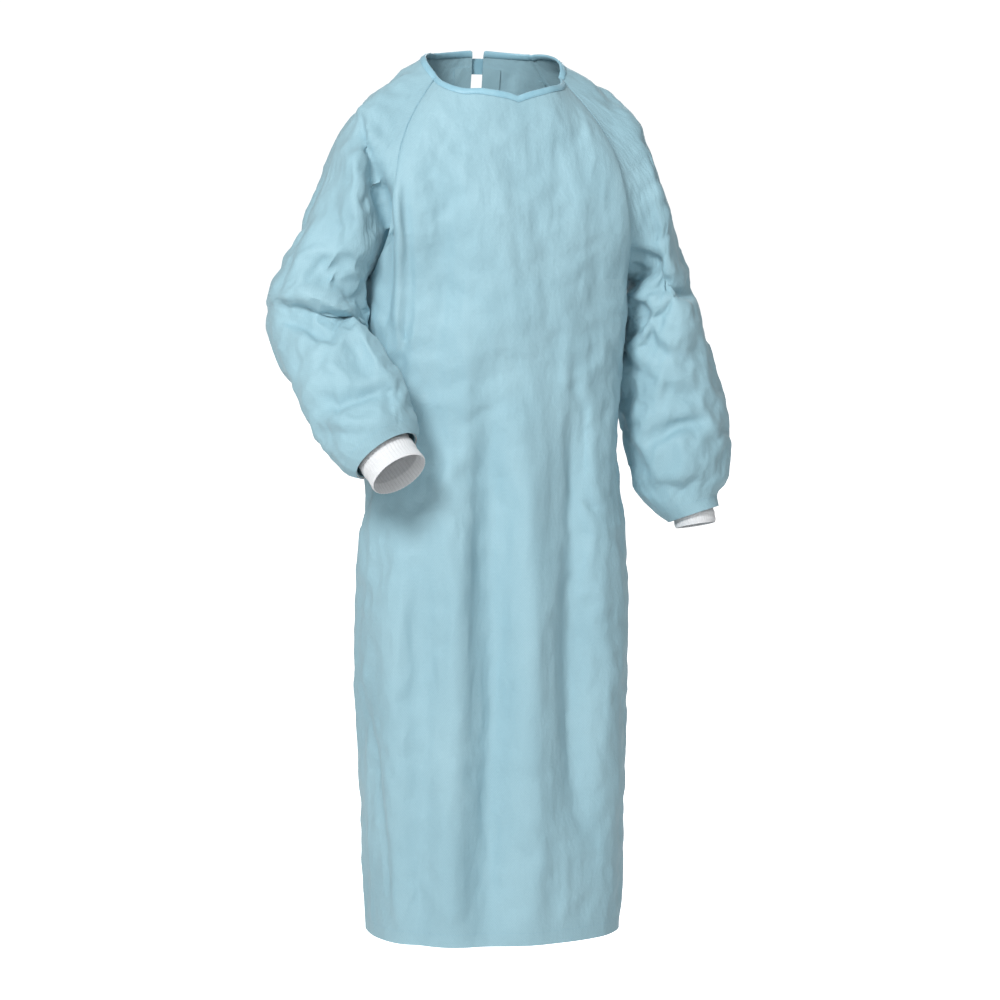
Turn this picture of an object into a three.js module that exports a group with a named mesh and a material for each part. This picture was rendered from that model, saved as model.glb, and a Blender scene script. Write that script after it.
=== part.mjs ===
// A back-opening isolation gown, as it hangs when worn: closed front, two back panels, raglan sleeves.
// Left and right are the wearer's. +X is the wearer's left, -Y the wearer's front and +Z is up.
// The origin is the middle of the neck opening, level with the points where the neck meets the shoulders.

import * as THREE from 'three';

// ---- Driving dimensions, in millimetres ----

const clothThickness = 1.5;
const trimThickness = 0.8;
const seamGap = 0.6;         // clearance between two pieces that meet edge to edge
const layerGap = 1.0;        // clearance between two layers that lie on each other

const bodyLength = 1190;     // from the neck level down to the hem
const underarmDrop = 295;
const waistDrop = 520;
const hipDrop = 780;

const chestHalf = 180;       // half widths and depths of the body at each level
const chestFront = 120;
const chestBack = 112;
const waistIn = 6;           // how far the waist and hem lie inside the chest's half width
const hipOut = 10;           // how far the hips lie outside it
const hemIn = 5;
const waistFront = 119;
const waistBack = 112;
const hipFront = 135;
const hipBack = 122;
const hemFront = 142;
const hemBack = 122;
const squareness = 2.3;      // 2 is an ellipse, more is squarer

const neckHalf = 92;         // the neck opening, to each side, to the front and to the back
const neckFront = 90;
const neckBack = 74;
const neckDrop = 50;         // how far the front of the neckline lies below the origin
const neckRise = 14;         // how far the back of the neckline lies above it

const neckSeamInset = 6;     // where the front raglan seam ends at the neck, from the neck's side
const neckSeamForward = 34;
const neckSeamDrop = 26;
const neckShoulderBack = 4;  // the neck's highest point at the side
const neckBackInset = 22;    // where the back raglan seam ends at the neck, from its side and back
const neckBackForward = 22;
const neckBackDrop = 6;

const frontSeamOut = 27;     // how far the cloth bows out between the ends of each seam and edge
const frontSeamForward = 84;
const frontMiddleForward = 10;
const backSeamLowOut = 8;
const backSeamLowBack = 14;
const backSeamHighOut = 20;
const backSeamHighBack = 18;
const backEdgeBack = 13;
const backFlatness = 0.62;   // share of a back panel's width where it turns from flat towards the side

const sideSeamX = 134;       // the side-back seam, where a back panel joins the front panel
const sideSeamY = 87;
const sideSeamDrop = 190;    // level where the side-back seam meets the raglan seam

const openingTop = 16;       // width of the gap between the back edges, at the underarm and above
const openingHem = 50;

const hemWidth = 18;
const facingWidth = 25;
const tapeHalf = 5;
const tapeGap = 2;           // clearance of a seam tape, which bridges the crease of its seam
const bindingLeg = 8;
const bindingGap = 1.5;      // clearance between the binding's legs and the cloth
const hemClearance = 4.5;    // between a hem's top and the strips that end above it
const facingStop = 0.4;      // rows of the upper panels left free below the neck binding
const tapeStop = 0.5;

const sleeveHemWidth = 12;
const elasticWidth = 8;
const elasticThickness = 1.0;
const sleeveLayerGap = 0.6;

const tabHeight = 22;
const tabThickness = 1.2;
const tabRootX = 34;         // the sewn end of the neck tab, where it bends when peeled
const tabTipX = -28;
const tabCorner = 3;
const tabClearance = 3;      // between the neck binding and the tab
const padLength = 18;

const tieLength = 420;
const tieWidth = 22;
const patchSize = 34;
const tieFromEdge = 34;      // middle of a waist tie, from its panel's back edge

const ringCells = 16;        // cells round a sleeve
const columnStep = 15;       // degrees between the columns of the front panel
const upperRows = 6;         // rows from the underarm level to the neck
const gussetRows = 3;
const backCells = 4;

// ---- Small helpers ----

const point = (x, y, z) => new THREE.Vector3(x, y, z);
const radians = THREE.MathUtils.degToRad;
const steps = (count) => Array.from({ length: count + 1 }, (_, index) => index / count);
const mix = (from, to, share) => from.clone().lerp(to, share);
const powered = (value, power) => Math.sign(value) * Math.abs(value) ** power;

// A grid is rows of points. Its outward side is 1 when its quads turn anticlockwise seen from outside.
function makeGrid(rows, outward) {
  return { rows, outward };
}

function mirrored(grid) {
  const flip = (place) => point(-place.x, place.y, place.z);
  return makeGrid(grid.rows.map((row) => row.map(flip)), -grid.outward);
}

function gridQuads(grid) {
  const quads = [];
  for (let row = 0; row + 1 < grid.rows.length; row += 1) {
    const low = grid.rows[row];
    const high = grid.rows[row + 1];
    for (let column = 0; column + 1 < low.length; column += 1) {
      const quad = [low[column], low[column + 1], high[column + 1], high[column]];
      quads.push(grid.outward > 0 ? quad : quad.reverse());
    }
  }
  return quads;
}

const placeKey = (place) => place.toArray().map((value) => Math.round(value * 100)).join();

// The area-weighted normal of a quad, which may have two corners at one place.
function quadNormal(quad) {
  const across = quad[2].clone().sub(quad[0]);
  const along = quad[3].clone().sub(quad[1]);
  return across.cross(along);
}

const meanDirection = (list) => list.reduce((sum, normal) => sum.add(normal), point(0, 0, 0)).normalize();

// The mean normal of some grids at each of their places.
function normalTable(grids) {
  const table = new Map();
  for (const quad of grids.flatMap(gridQuads)) {
    const normal = quadNormal(quad).normalize();
    for (const place of quad) {
      const key = placeKey(place);
      table.set(key, [...(table.get(key) ?? []), normal]);
    }
  }
  return new Map([...table].map(([key, list]) => [key, meanDirection(list)]));
}

// Offset direction for each place of some panels, each a list of grids. Where panels meet it lies
// midway between their normals, and is long enough to keep their thickness across the crease.
function offsetTable(panels) {
  const normals = new Map();
  for (const [key, normal] of panels.flatMap((grids) => [...normalTable(grids)])) {
    normals.set(key, [...(normals.get(key) ?? []), normal]);
  }
  const sharpest = 0.4;
  const table = new Map();
  for (const [key, list] of normals) {
    const mean = meanDirection(list);
    const spread = list.reduce((sum, normal) => sum + mean.dot(normal), 0) / list.length;
    table.set(key, mean.divideScalar(Math.max(spread, sharpest)));
  }
  return table;
}

function geometryOf(places, faces) {
  const geometry = new THREE.BufferGeometry();
  const positions = new Float32Array(places.flatMap((place) => place.toArray()));
  geometry.setAttribute('position', new THREE.BufferAttribute(positions, 3));
  geometry.setIndex(faces.flatMap((face) => face.length === 3 ? face : [
    face[0], face[1], face[2], face[0], face[2], face[3],
  ]));
  geometry.computeVertexNormals();
  return geometry;
}

// Moves each boundary place into the sheet, so that it stays clear of the piece on the other side.
function insetPlaces(places, offsets, edges) {
  const moves = new Map();
  for (const [from, to] of edges) {
    const along = places[to].clone().sub(places[from]);
    for (const index of [from, to]) {
      const inward = offsets[index].clone().cross(along).normalize();
      moves.set(index, [...(moves.get(index) ?? []), inward]);
    }
  }
  const sharpest = 0.35;
  for (const [index, list] of moves) {
    const spread = list.length > 1 ? Math.max(1 + list[0].dot(list[1]), sharpest) : 1;
    for (const inward of list) places[index].addScaledVector(inward, seamGap / 2 / spread);
  }
}

// A closed sheet over some grids, between two offsets from their surface.
function sheetGeometry(grids, inner, outer, table = offsetTable([grids])) {
  const indexOf = new Map();
  const places = [];
  const offsets = [];
  const faces = [];
  for (const quad of grids.flatMap(gridQuads)) {
    const face = [];
    for (const place of quad) {
      const key = placeKey(place);
      if (!indexOf.has(key)) {
        indexOf.set(key, places.length);
        places.push(place.clone());
        offsets.push(table.get(key));
      }
      const index = indexOf.get(key);
      if (!face.includes(index)) face.push(index);
    }
    if (face.length > 2) faces.push(face);
  }
  const sidesOf = (face) => face.map((index, turn) => [index, face[(turn + 1) % face.length]]);
  const sides = faces.flatMap(sidesOf);
  const known = new Set(sides.map((side) => side.join()));
  const edges = sides.filter(([from, to]) => !known.has(`${to},${from}`));
  insetPlaces(places, offsets, edges);

  const count = places.length;
  const shiftOne = (distance) => (place, index) => place.clone().addScaledVector(offsets[index], distance);
  const shifted = (distance) => places.map(shiftOne(distance));
  const backs = faces.map((face) => face.map((index) => index + count));
  const turned = backs.map(([first, ...rest]) => [first, ...rest.reverse()]);
  const walls = edges.map(([from, to]) => [to, from, from + count, to + count]);
  return geometryOf([...shifted(outer), ...shifted(inner)], [...faces, ...turned, ...walls]);
}

// ---- The gown's surface ----

const underarm = point(chestHalf, 0, -underarmDrop);
const chestSeam = point(sideSeamX, sideSeamY, -underarmDrop);
const seamTop = point(sideSeamX, sideSeamY, -sideSeamDrop);
const neckFrontSide = point(neckHalf - neckSeamInset, -neckSeamForward, -neckSeamDrop);
const neckShoulder = point(neckHalf, neckShoulderBack, 0);
const neckBackSide = point(neckHalf - neckBackInset, neckBack - neckBackForward, neckRise - neckBackDrop);

const levels = [
  { drop: underarmDrop, half: chestHalf, front: chestFront, back: chestBack, rows: 4 },
  { drop: waistDrop, half: chestHalf - waistIn, front: waistFront, back: waistBack, rows: 4 },
  { drop: hipDrop, half: chestHalf + hipOut, front: hipFront, back: hipBack, rows: 5 },
  { drop: bodyLength, half: chestHalf - hemIn, front: hemFront, back: hemBack, rows: 0 },
];

// The body's size at a drop below the neck level.
function bodyAt(drop) {
  let index = 0;
  while (index + 2 < levels.length && drop > levels[index + 1].drop) index += 1;
  const above = levels[index];
  const below = levels[index + 1];
  const share = THREE.MathUtils.smoothstep(drop, above.drop, below.drop);
  const size = (name) => above[name] + (below[name] - above[name]) * share;
  return { half: size('half'), front: size('front'), back: size('back') };
}

function squarePoint(half, depth, angle) {
  const across = half * powered(Math.sin(angle), 2 / squareness);
  return [across, -depth * powered(Math.cos(angle), 2 / squareness)];
}

// A place of the front panel, at an angle from the middle of the front.
function frontPoint(drop, degrees) {
  const size = bodyAt(drop);
  const side = Math.sign(degrees);
  const angle = Math.abs(degrees);
  const depth = angle > 90 ? size.back : size.front;
  const [x, y] = squarePoint(size.half, depth, radians(angle));
  if (angle <= 90) return point(side * x, y, -drop);
  const [seamX, seamY] = squarePoint(size.half, size.back, radians(135));
  const share = Math.sin(radians(2 * (angle - 90))) ** 2;
  return point(side * (x + (sideSeamX - seamX) * share), y + (sideSeamY - seamY) * share, -drop);
}

// Half the width of the gap between the back edges.
function edgeX(drop) {
  const share = THREE.MathUtils.smoothstep(drop, underarmDrop, bodyLength);
  return (openingTop + (openingHem - openingTop) * share) / 2;
}

// One row of a back panel, from its side-back seam to its back edge.
function backRow(seam, edge) {
  const bend = point(seam.x * backFlatness, edge.y, (seam.z + edge.z) / 2);
  return new THREE.QuadraticBezierCurve3(seam, bend, edge).getPoints(backCells);
}

const bodyDrops = levels.slice(0, -1).flatMap((level, index) => {
  const next = levels[index + 1].drop;
  const rowDrop = (_, row) => level.drop + (next - level.drop) * row / level.rows;
  return Array.from({ length: level.rows }, rowDrop);
});
bodyDrops.push(bodyLength);
bodyDrops.reverse();

// The raglan seam in front, from the underarm up to the neck, and the middle of the front beside it.
function frontSeam(share) {
  const highPower = 1.6;
  const lowPower = 0.65;
  const outward = frontSeamOut * Math.sin(Math.PI * share ** highPower);
  const forward = frontSeamForward * Math.sin(Math.PI * share ** lowPower);
  return mix(underarm, neckFrontSide, share).add(point(outward, -forward, 0));
}

function frontMiddle(share) {
  const low = point(0, -chestFront, -underarmDrop);
  const high = point(0, -neckFront, -neckDrop);
  return mix(low, high, share).add(point(0, -frontMiddleForward * Math.sin(Math.PI * share), 0));
}

// The raglan seam behind, in two stretches: underarm to side-back seam, and side-back seam to neck.
function backSeamLow(share) {
  const swell = Math.sin(Math.PI * share);
  return mix(underarm, seamTop, share).add(point(backSeamLowOut * swell, backSeamLowBack * swell, 0));
}

function backSeamHigh(share) {
  const swell = Math.sin(Math.PI * share);
  return mix(seamTop, neckBackSide, share).add(point(backSeamHighOut * swell, backSeamHighBack * swell, 0));
}

function backEdge(share) {
  const low = point(openingTop / 2, chestBack, -underarmDrop);
  const high = point(openingTop / 2, neckBack, neckRise);
  return mix(low, high, share).add(point(0, backEdgeBack * Math.sin(Math.PI * share), 0));
}

function frontUpperGrid() {
  const rows = steps(upperRows).map((share) => {
    const seam = frontSeam(share);
    const middle = frontMiddle(share);
    const row = [];
    for (let degrees = -90; degrees <= 90; degrees += columnStep) {
      const across = powered(Math.sin(radians(degrees)), 2 / squareness);
      const forward = powered(Math.cos(radians(degrees)), 2 / squareness);
      const place = mix(seam, middle, forward);
      place.x = seam.x * across;
      row.push(place);
    }
    return row;
  });
  return makeGrid(rows, 1);
}

function frontLowerGrid() {
  const rows = bodyDrops.map((drop) => {
    const row = [];
    for (let degrees = -135; degrees <= 135; degrees += columnStep) {
      row.push(frontPoint(drop, degrees));
    }
    return row;
  });
  return makeGrid(rows, 1);
}

// The part of the front panel between the underarm and the side-back seam.
function gussetGrid() {
  const base = [90, 105, 120, 135].map((degrees) => frontPoint(underarmDrop, degrees));
  const rows = steps(gussetRows).map((share) => {
    const start = backSeamLow(share);
    const end = mix(chestSeam, seamTop, share);
    return base.map((place, index) => {
      const along = index / (base.length - 1);
      const straight = mix(base[0], base.at(-1), along);
      const swell = place.clone().sub(straight).multiplyScalar(1 - share);
      return mix(start, end, along).add(swell);
    });
  });
  return makeGrid(rows, 1);
}

function backLowerGrid() {
  const rows = bodyDrops.map((drop) => {
    const edge = point(edgeX(drop), bodyAt(drop).back, -drop);
    return backRow(point(sideSeamX, sideSeamY, -drop), edge);
  });
  return makeGrid(rows, 1);
}

function backUpperGrid() {
  const seams = [
    ...steps(gussetRows).map((share) => mix(chestSeam, seamTop, share)),
    ...steps(upperRows - gussetRows).slice(1).map(backSeamHigh),
  ];
  const edges = steps(upperRows).map(backEdge);
  return makeGrid(seams.map((seam, index) => backRow(seam, edges[index])), 1);
}

// The armhole, once round: underarm, front seam, neck side, back seam, underarm.
function armholeLoop() {
  const bend = neckShoulder.clone().multiplyScalar(2).sub(mix(neckFrontSide, neckBackSide, 0.5));
  const neckSide = new THREE.QuadraticBezierCurve3(neckFrontSide, bend, neckBackSide);
  const neckCells = ringCells - 2 * upperRows;
  return [
    ...steps(upperRows).map(frontSeam),
    ...neckSide.getPoints(neckCells).slice(1),
    ...steps(upperRows - gussetRows).map((share) => backSeamHigh(1 - share)).slice(1),
    ...steps(gussetRows).map((share) => backSeamLow(1 - share)).slice(1),
  ];
}

// ---- Sleeves ----
// A station is a ring round the arm. Its centre is measured from the underarm point, out points from
// the body's side of the sleeve to its outer side, and wide and deep are the ring's half sizes.
// A ring's travel is the way the sleeve runs there, and comes from its neighbours where it isn't given.

const shoulderTravel = [1, 0, -0.5];
const shoulderStation = {
  centre: [23, 2, 103], out: [0.02, 0, 1], travel: shoulderTravel, wide: 112, deep: 84,
};
const hangingTravel = [0.1, -0.18, -0.98];

const hangingStations = [
  shoulderStation,
  { centre: [50, 4, 3], out: [0.66, 0, 0.75], wide: 54, deep: 84 },
  { centre: [67, 10, -93], out: [0.95, 0, 0.31], wide: 56, deep: 78 },
  { centre: [77, 8, -163], out: [1, 0, 0.05], wide: 69, deep: 76 },
  { centre: [84, -4, -235], out: [1, 0, 0], wide: 73, deep: 72 },
  { centre: [86, -13, -283], out: [1, 0, 0.05], travel: hangingTravel, wide: 67, deep: 64 },
  { centre: [91, -21, -312], out: [0.98, 0, 0.2], travel: hangingTravel, wide: 46, deep: 46 },
  { centre: [102, -27, -328], out: [0.96, 0, 0.28], travel: hangingTravel, wide: 36, deep: 42 },
];

const bentStations = [
  shoulderStation,
  { centre: [55, -10, 10], out: [0.68, 0.2, 0.7], wide: 57, deep: 76 },
  { centre: [68, -17, -37], out: [0.9, 0.4, 0.16], wide: 62, deep: 70 },
  { centre: [70, -8, -70], out: [0.87, 0.49, 0], wide: 64, deep: 66 },
  { centre: [52, -75, -125], out: [0.91, 0.05, -0.41], wide: 60, deep: 62 },
  { centre: [18, -132, -200], out: [0.86, 0, -0.5], wide: 62, deep: 58 },
  { centre: [8, -150, -223], out: [0.86, 0, -0.5], wide: 56, deep: 50 },
  { centre: [4, -157, -232], out: [0.86, 0, -0.5], wide: 47, deep: 41 },
];

// Rows of each sleeve piece, counted in stations from the armhole at 0.
const capRows = [0, 0.35, 0.7, 1];
const foldRows = [1, 1.33, 1.67, 2, 2.25];
const tubeRows = [2.25, 2.6, 3, 3.5, 4, 4.5, 5, 5.5, 6, 6.5, 7, 7.5, 8];

const elbowHanging = [74, 15, -72];
const wristHanging = [100, -30, -316];
const elbowBent = [86, 25, -58];
const wristBent = [-2, -165, -234];

const fromUnderarm = (offset) => point(...offset).add(underarm);

function ringPoints(centre, out, travel, wide, deep) {
  const forward = travel.clone().cross(out).normalize();
  const ring = [];
  for (let cell = 0; cell < ringCells; cell += 1) {
    const angle = Math.PI - 2 * Math.PI * cell / ringCells;
    const place = centre.clone().addScaledVector(out, wide * Math.cos(angle));
    ring.push(place.addScaledVector(forward, deep * Math.sin(angle)));
  }
  return [...ring, ring[0].clone()];
}

function stationRings(stations) {
  const centres = stations.map((station) => fromUnderarm(station.centre));
  return stations.map((station, index) => {
    const ahead = centres[Math.min(index + 1, centres.length - 1)];
    const behind = centres[Math.max(index - 1, 0)];
    const travel = station.travel ? point(...station.travel) : ahead.clone().sub(behind);
    const out = point(...station.out).normalize();
    return ringPoints(centres[index], out, travel, station.wide, station.deep);
  });
}

// Smooth lines down the sleeve, one for each corner of the rings.
function sleeveLines(stations) {
  const rings = [armholeLoop(), ...stationRings(stations)];
  return rings[0].map((_, cell) => {
    const corners = rings.map((ring) => ring[cell]);
    return new THREE.CatmullRomCurve3(corners, false, 'centripetal');
  });
}

function sleeveGrid(lines, rows) {
  const last = lines[0].points.length - 1;
  return makeGrid(rows.map((row) => lines.map((line) => line.getPoint(row / last))), -1);
}

// A band of a sleeve's end, from the end back up the sleeve.
function sleeveEndBand(lines, width) {
  const last = lines[0].points.length - 1;
  const ends = lines.map((line) => line.getPoint(1));
  const backs = lines.map((line) => line.getPoint((last - 0.5) / last));
  const upper = ends.map((end, cell) => {
    const away = backs[cell].clone().sub(end);
    return end.clone().addScaledVector(away, width / away.length());
  });
  return makeGrid([upper, ends], -1);
}

// A knit cuff: a plain tube on the forearm's line, through the middle of the sleeve's end.
function cuffGrid(stations, elbow, wrist, wide, deep, inside, showing) {
  const end = stations.at(-1);
  const travel = point(...wrist).sub(point(...elbow)).normalize();
  const tilt = point(...end.out).normalize();
  const out = tilt.addScaledVector(travel, -tilt.dot(travel)).normalize();
  const middle = fromUnderarm(end.centre);
  const rows = [-inside, 0, showing].map((distance) => {
    const centre = middle.clone().addScaledVector(travel, distance);
    return ringPoints(centre, out, travel, wide, deep);
  });
  return makeGrid(rows, -1);
}

// ---- Strips that lie on the cloth ----

function towards(from, to, distance) {
  const away = to.clone().sub(from);
  return from.clone().addScaledVector(away, distance / away.length());
}

// A band along a grid's first row, which is its hem.
function hemGrid(grid) {
  const [hem, above] = grid.rows;
  return makeGrid([hem, hem.map((place, index) => towards(place, above[index], hemWidth))], grid.outward);
}

// A band along one column of a grid, between two row positions.
function edgeBand(grid, column, next, width, rowPlaces) {
  const at = (place) => {
    const row = Math.min(Math.floor(place), grid.rows.length - 2);
    const edge = mix(grid.rows[row][column], grid.rows[row + 1][column], place - row);
    const inside = mix(grid.rows[row][next], grid.rows[row + 1][next], place - row);
    return [edge, towards(edge, inside, width)];
  };
  const rows = rowPlaces.map(at);
  const ordered = next > column ? rows : rows.map((row) => row.reverse());
  return makeGrid(ordered, grid.outward);
}

// A tape over a raglan seam, half on the body and half on the sleeve cap.
function seamTape(bodyLine, seamLine, capLine, outward) {
  const places = [...seamLine.keys()].slice(1, -1).concat(seamLine.length - 1 - tapeStop);
  const at = (line, place) => {
    const index = Math.min(Math.floor(place), line.length - 2);
    return mix(line[index], line[index + 1], place - index);
  };
  const rows = places.map((place) => {
    const seam = at(seamLine, place);
    const onBody = towards(seam, at(bodyLine, place), tapeHalf);
    const onCap = towards(seam, at(capLine, place), tapeHalf);
    return [onBody, seam, onCap];
  });
  return makeGrid(rows, outward);
}

// A rectangle on a back panel, given by its middle's distance from the back edge and its drops.
function backRectangle(grid, fromEdge, width, dropTop, dropBottom, rowCount) {
  const rows = steps(rowCount).map((share) => {
    const drop = dropBottom + (dropTop - dropBottom) * share;
    const above = grid.rows.findIndex((row) => -row[0].z <= drop + 0.01);
    const high = Math.max(above, 1);
    const lowDrop = -grid.rows[high - 1][0].z;
    const between = (lowDrop - drop) / (lowDrop + grid.rows[high][0].z);
    const line = grid.rows[high].map((place, index) => mix(grid.rows[high - 1][index], place, between));
    const edge = line.at(-1);
    const beside = line.at(-2);
    const inner = towards(edge, beside, fromEdge + width / 2);
    return [inner, towards(edge, beside, fromEdge - width / 2)];
  });
  return makeGrid(rows, grid.outward);
}

// ---- The neck binding: a U-shaped strip folded over the edge ----

function bindingGeometry(edge, table) {
  const clear = clothThickness / 2 + bindingGap;
  const outside = clear + trimThickness;
  const section = [
    [outside, bindingLeg], [outside, -layerGap / 2 - trimThickness],
    [-outside, -layerGap / 2 - trimThickness], [-outside, bindingLeg],
    [-clear, bindingLeg], [-clear, -layerGap / 2], [clear, -layerGap / 2], [clear, bindingLeg],
  ];
  const places = edge.flatMap(({ place, below }) => {
    const normal = table.get(placeKey(place)).clone().normalize();
    const down = below.clone().sub(place).normalize();
    return section.map(([out, drop]) => {
      return place.clone().addScaledVector(normal, out).addScaledVector(down, drop);
    });
  });
  const count = section.length;
  const faces = [];
  for (let station = 0; station + 1 < edge.length; station += 1) {
    for (let corner = 0; corner < count; corner += 1) {
      const next = (corner + 1) % count;
      const first = station * count;
      faces.push([first + corner, first + count + corner, first + count + next, first + next]);
    }
  }
  const capQuads = [[0, 1, 6, 7], [1, 2, 5, 6], [2, 3, 4, 5]];
  const last = (edge.length - 1) * count;
  for (const quad of capQuads) {
    faces.push(quad);
    faces.push(quad.map((corner) => corner + last).reverse());
  }
  return geometryOf(places, faces);
}

// The neck edge from the right back edge round the front to the left back edge.
function neckEdge(front, leftBack, leftCap) {
  const flip = (place) => point(-place.x, place.y, place.z);
  const capLines = leftCap.rows[0].map((place, cell) => ({ place, below: leftCap.rows[1][cell] }));
  const shoulder = capLines.slice(upperRows + 1, ringCells - upperRows);
  const column = (grid, index) => ({ place: grid.rows.at(-1)[index], below: grid.rows.at(-2)[index] });
  const columns = (grid) => grid.rows[0].map((_, index) => column(grid, index));
  // At the end of a raglan seam the way down lies between those of the two pieces that meet there.
  const shared = (first, second) => {
    const ways = [first, second].map(({ place, below }) => below.clone().sub(place).normalize());
    return { place: first.place, below: first.place.clone().add(ways[0]).add(ways[1]) };
  };
  const [backSeam, ...backRest] = columns(leftBack);
  const frontEdge = columns(front).slice(1, -1);
  const frontSeamEnd = shared(column(front, front.rows[0].length - 1), capLines[upperRows]);
  const backSeamEnd = shared(backSeam, capLines[ringCells - upperRows]);
  const leftSide = [frontSeamEnd, ...shoulder, backSeamEnd, ...backRest];
  const mirror = ({ place, below }) => ({ place: flip(place), below: flip(below) });
  const rightSide = leftSide.map(mirror).reverse();
  return [...rightSide, ...frontEdge, ...leftSide];
}

// ---- Neck closure ----

const backDown = backEdge(1 - 1 / upperRows).sub(backEdge(1)).normalize();
const backOut = point(0, -backDown.z, backDown.y);
const tabFromEdge = bindingLeg + tabClearance;

// A flat plate with round corners on the upper back, between two x positions, at a height off the cloth.
function backPlate(fromX, toX, lift, thickness) {
  const length = Math.abs(toX - fromX);
  const corner = tabCorner;
  const outline = new THREE.Shape();
  outline.moveTo(corner, 0);
  outline.lineTo(length - corner, 0);
  outline.absarc(length - corner, corner, corner, -Math.PI / 2, 0);
  outline.lineTo(length, tabHeight - corner);
  outline.absarc(length - corner, tabHeight - corner, corner, 0, Math.PI / 2);
  outline.lineTo(corner, tabHeight);
  outline.absarc(corner, tabHeight - corner, corner, Math.PI / 2, Math.PI);
  outline.lineTo(0, corner);
  outline.absarc(corner, corner, corner, Math.PI, 1.5 * Math.PI);
  const settings = { depth: thickness, bevelEnabled: false, curveSegments: 4 };
  const geometry = new THREE.ExtrudeGeometry(outline, settings);
  const place = backEdge(1).setX(Math.max(fromX, toX));
  place.addScaledVector(backDown, tabFromEdge + tabHeight).addScaledVector(backOut, lift);
  const basis = new THREE.Matrix4().makeBasis(point(-1, 0, 0), backDown.clone().negate(), backOut);
  return { geometry, place, basis };
}

// ---- Materials ----

const paint = (color, roughness) => new THREE.MeshStandardMaterial({ color, roughness, metalness: 0 });
const clothPaint = paint(0xa7ccd8, 0.62);
const bindingPaint = paint(0x93c3d2, 0.5);
const trimPaint = paint(0x9fc6d3, 0.65);
const knitPaint = paint(0xf2f2ef, 0.85);
const padPaint = paint(0xe4ebed, 0.9);

// ---- Assembly ----

const gown = new THREE.Group();

function addPiece(name, geometry, material) {
  const mesh = new THREE.Mesh(geometry, material);
  mesh.name = name;
  gown.add(mesh);
  return mesh;
}

function addPlate(name, plate, material) {
  const mesh = addPiece(name, plate.geometry, material);
  mesh.position.copy(plate.place);
  mesh.quaternion.setFromRotationMatrix(plate.basis);
}

const clothHalf = clothThickness / 2;
const insideTop = -clothHalf - layerGap;
const insideStrip = [insideTop - trimThickness, insideTop];
const insideTape = [-clothHalf - tapeGap - trimThickness, -clothHalf - tapeGap];
const outsideStrip = [clothHalf + layerGap / 2, clothHalf + layerGap / 2 + trimThickness];

const frontUpper = frontUpperGrid();
const frontLower = frontLowerGrid();
const gusset = gussetGrid();
const backUpper = backUpperGrid();
const backLower = backLowerGrid();

const sides = [
  { name: 'left', turn: (grid) => grid, stations: hangingStations, elbow: elbowHanging, wrist: wristHanging,
    cuff: { wide: 27, deep: 33, inside: 28, showing: 15 } },
  { name: 'right', turn: mirrored, stations: bentStations, elbow: elbowBent, wrist: wristBent,
    cuff: { wide: 38, deep: 32, inside: 30, showing: 34 } },
];
for (const side of sides) {
  side.lines = sleeveLines(side.stations);
  side.cap = side.turn(sleeveGrid(side.lines, capRows));
  side.fold = side.turn(sleeveGrid(side.lines, foldRows));
  side.tube = side.turn(sleeveGrid(side.lines, tubeRows));
  side.gusset = side.turn(gusset);
  side.backUpper = side.turn(backUpper);
  side.backLower = side.turn(backLower);
}

const frontGrids = [frontUpper, frontLower, ...sides.map((side) => side.gusset)];
const surface = offsetTable([
  frontGrids,
  ...sides.flatMap((side) => [[side.cap, side.fold, side.tube], [side.backUpper, side.backLower]]),
]);

const cloth = (...grids) => sheetGeometry(grids, -clothHalf, clothHalf, surface);

const hemStrips = { front: hemGrid(frontLower) };
for (const side of sides) hemStrips[side.name] = hemGrid(side.backLower);
const hemTable = offsetTable(Object.values(hemStrips).map((grid) => [grid]));

function addBody() {
  addPiece('front_panel', cloth(...frontGrids), clothPaint);
  addPiece('front_hem', sheetGeometry([hemStrips.front], ...insideStrip, hemTable), trimPaint);
  const edge = neckEdge(frontUpper, backUpper, sides[0].cap);
  addPiece('neck_binding', bindingGeometry(edge, surface), bindingPaint);
}

// Row positions of a lower grid from just above its hem, for the strips that stop there.
function rowsAboveHem(grid) {
  const rows = grid.rows.length - 1;
  const first = (hemWidth + hemClearance) * rows / (bodyLength - underarmDrop);
  return [first, ...grid.rows.keys()].filter((row) => row >= first);
}

function addBackPanels(side) {
  const lastColumn = backCells;
  const lowerRows = rowsAboveHem(side.backLower);
  const upperPlaces = [...Array(upperRows).keys(), upperRows - facingStop];
  const facingLow = edgeBand(side.backLower, lastColumn, lastColumn - 1, facingWidth, lowerRows);
  const facingHigh = edgeBand(side.backUpper, lastColumn, lastColumn - 1, facingWidth, upperPlaces);
  addPiece(`${side.name}_back_panel_upper`, cloth(side.backUpper), clothPaint);
  addPiece(`${side.name}_back_panel_lower`, cloth(side.backLower), clothPaint);
  const hem = sheetGeometry([hemStrips[side.name]], ...insideStrip, hemTable);
  addPiece(`${side.name}_back_hem`, hem, trimPaint);
  addPiece(`${side.name}_back_facing_upper`, sheetGeometry([facingHigh], ...insideStrip), trimPaint);
  addPiece(`${side.name}_back_facing_lower`, sheetGeometry([facingLow], ...insideStrip), trimPaint);
}

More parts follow.
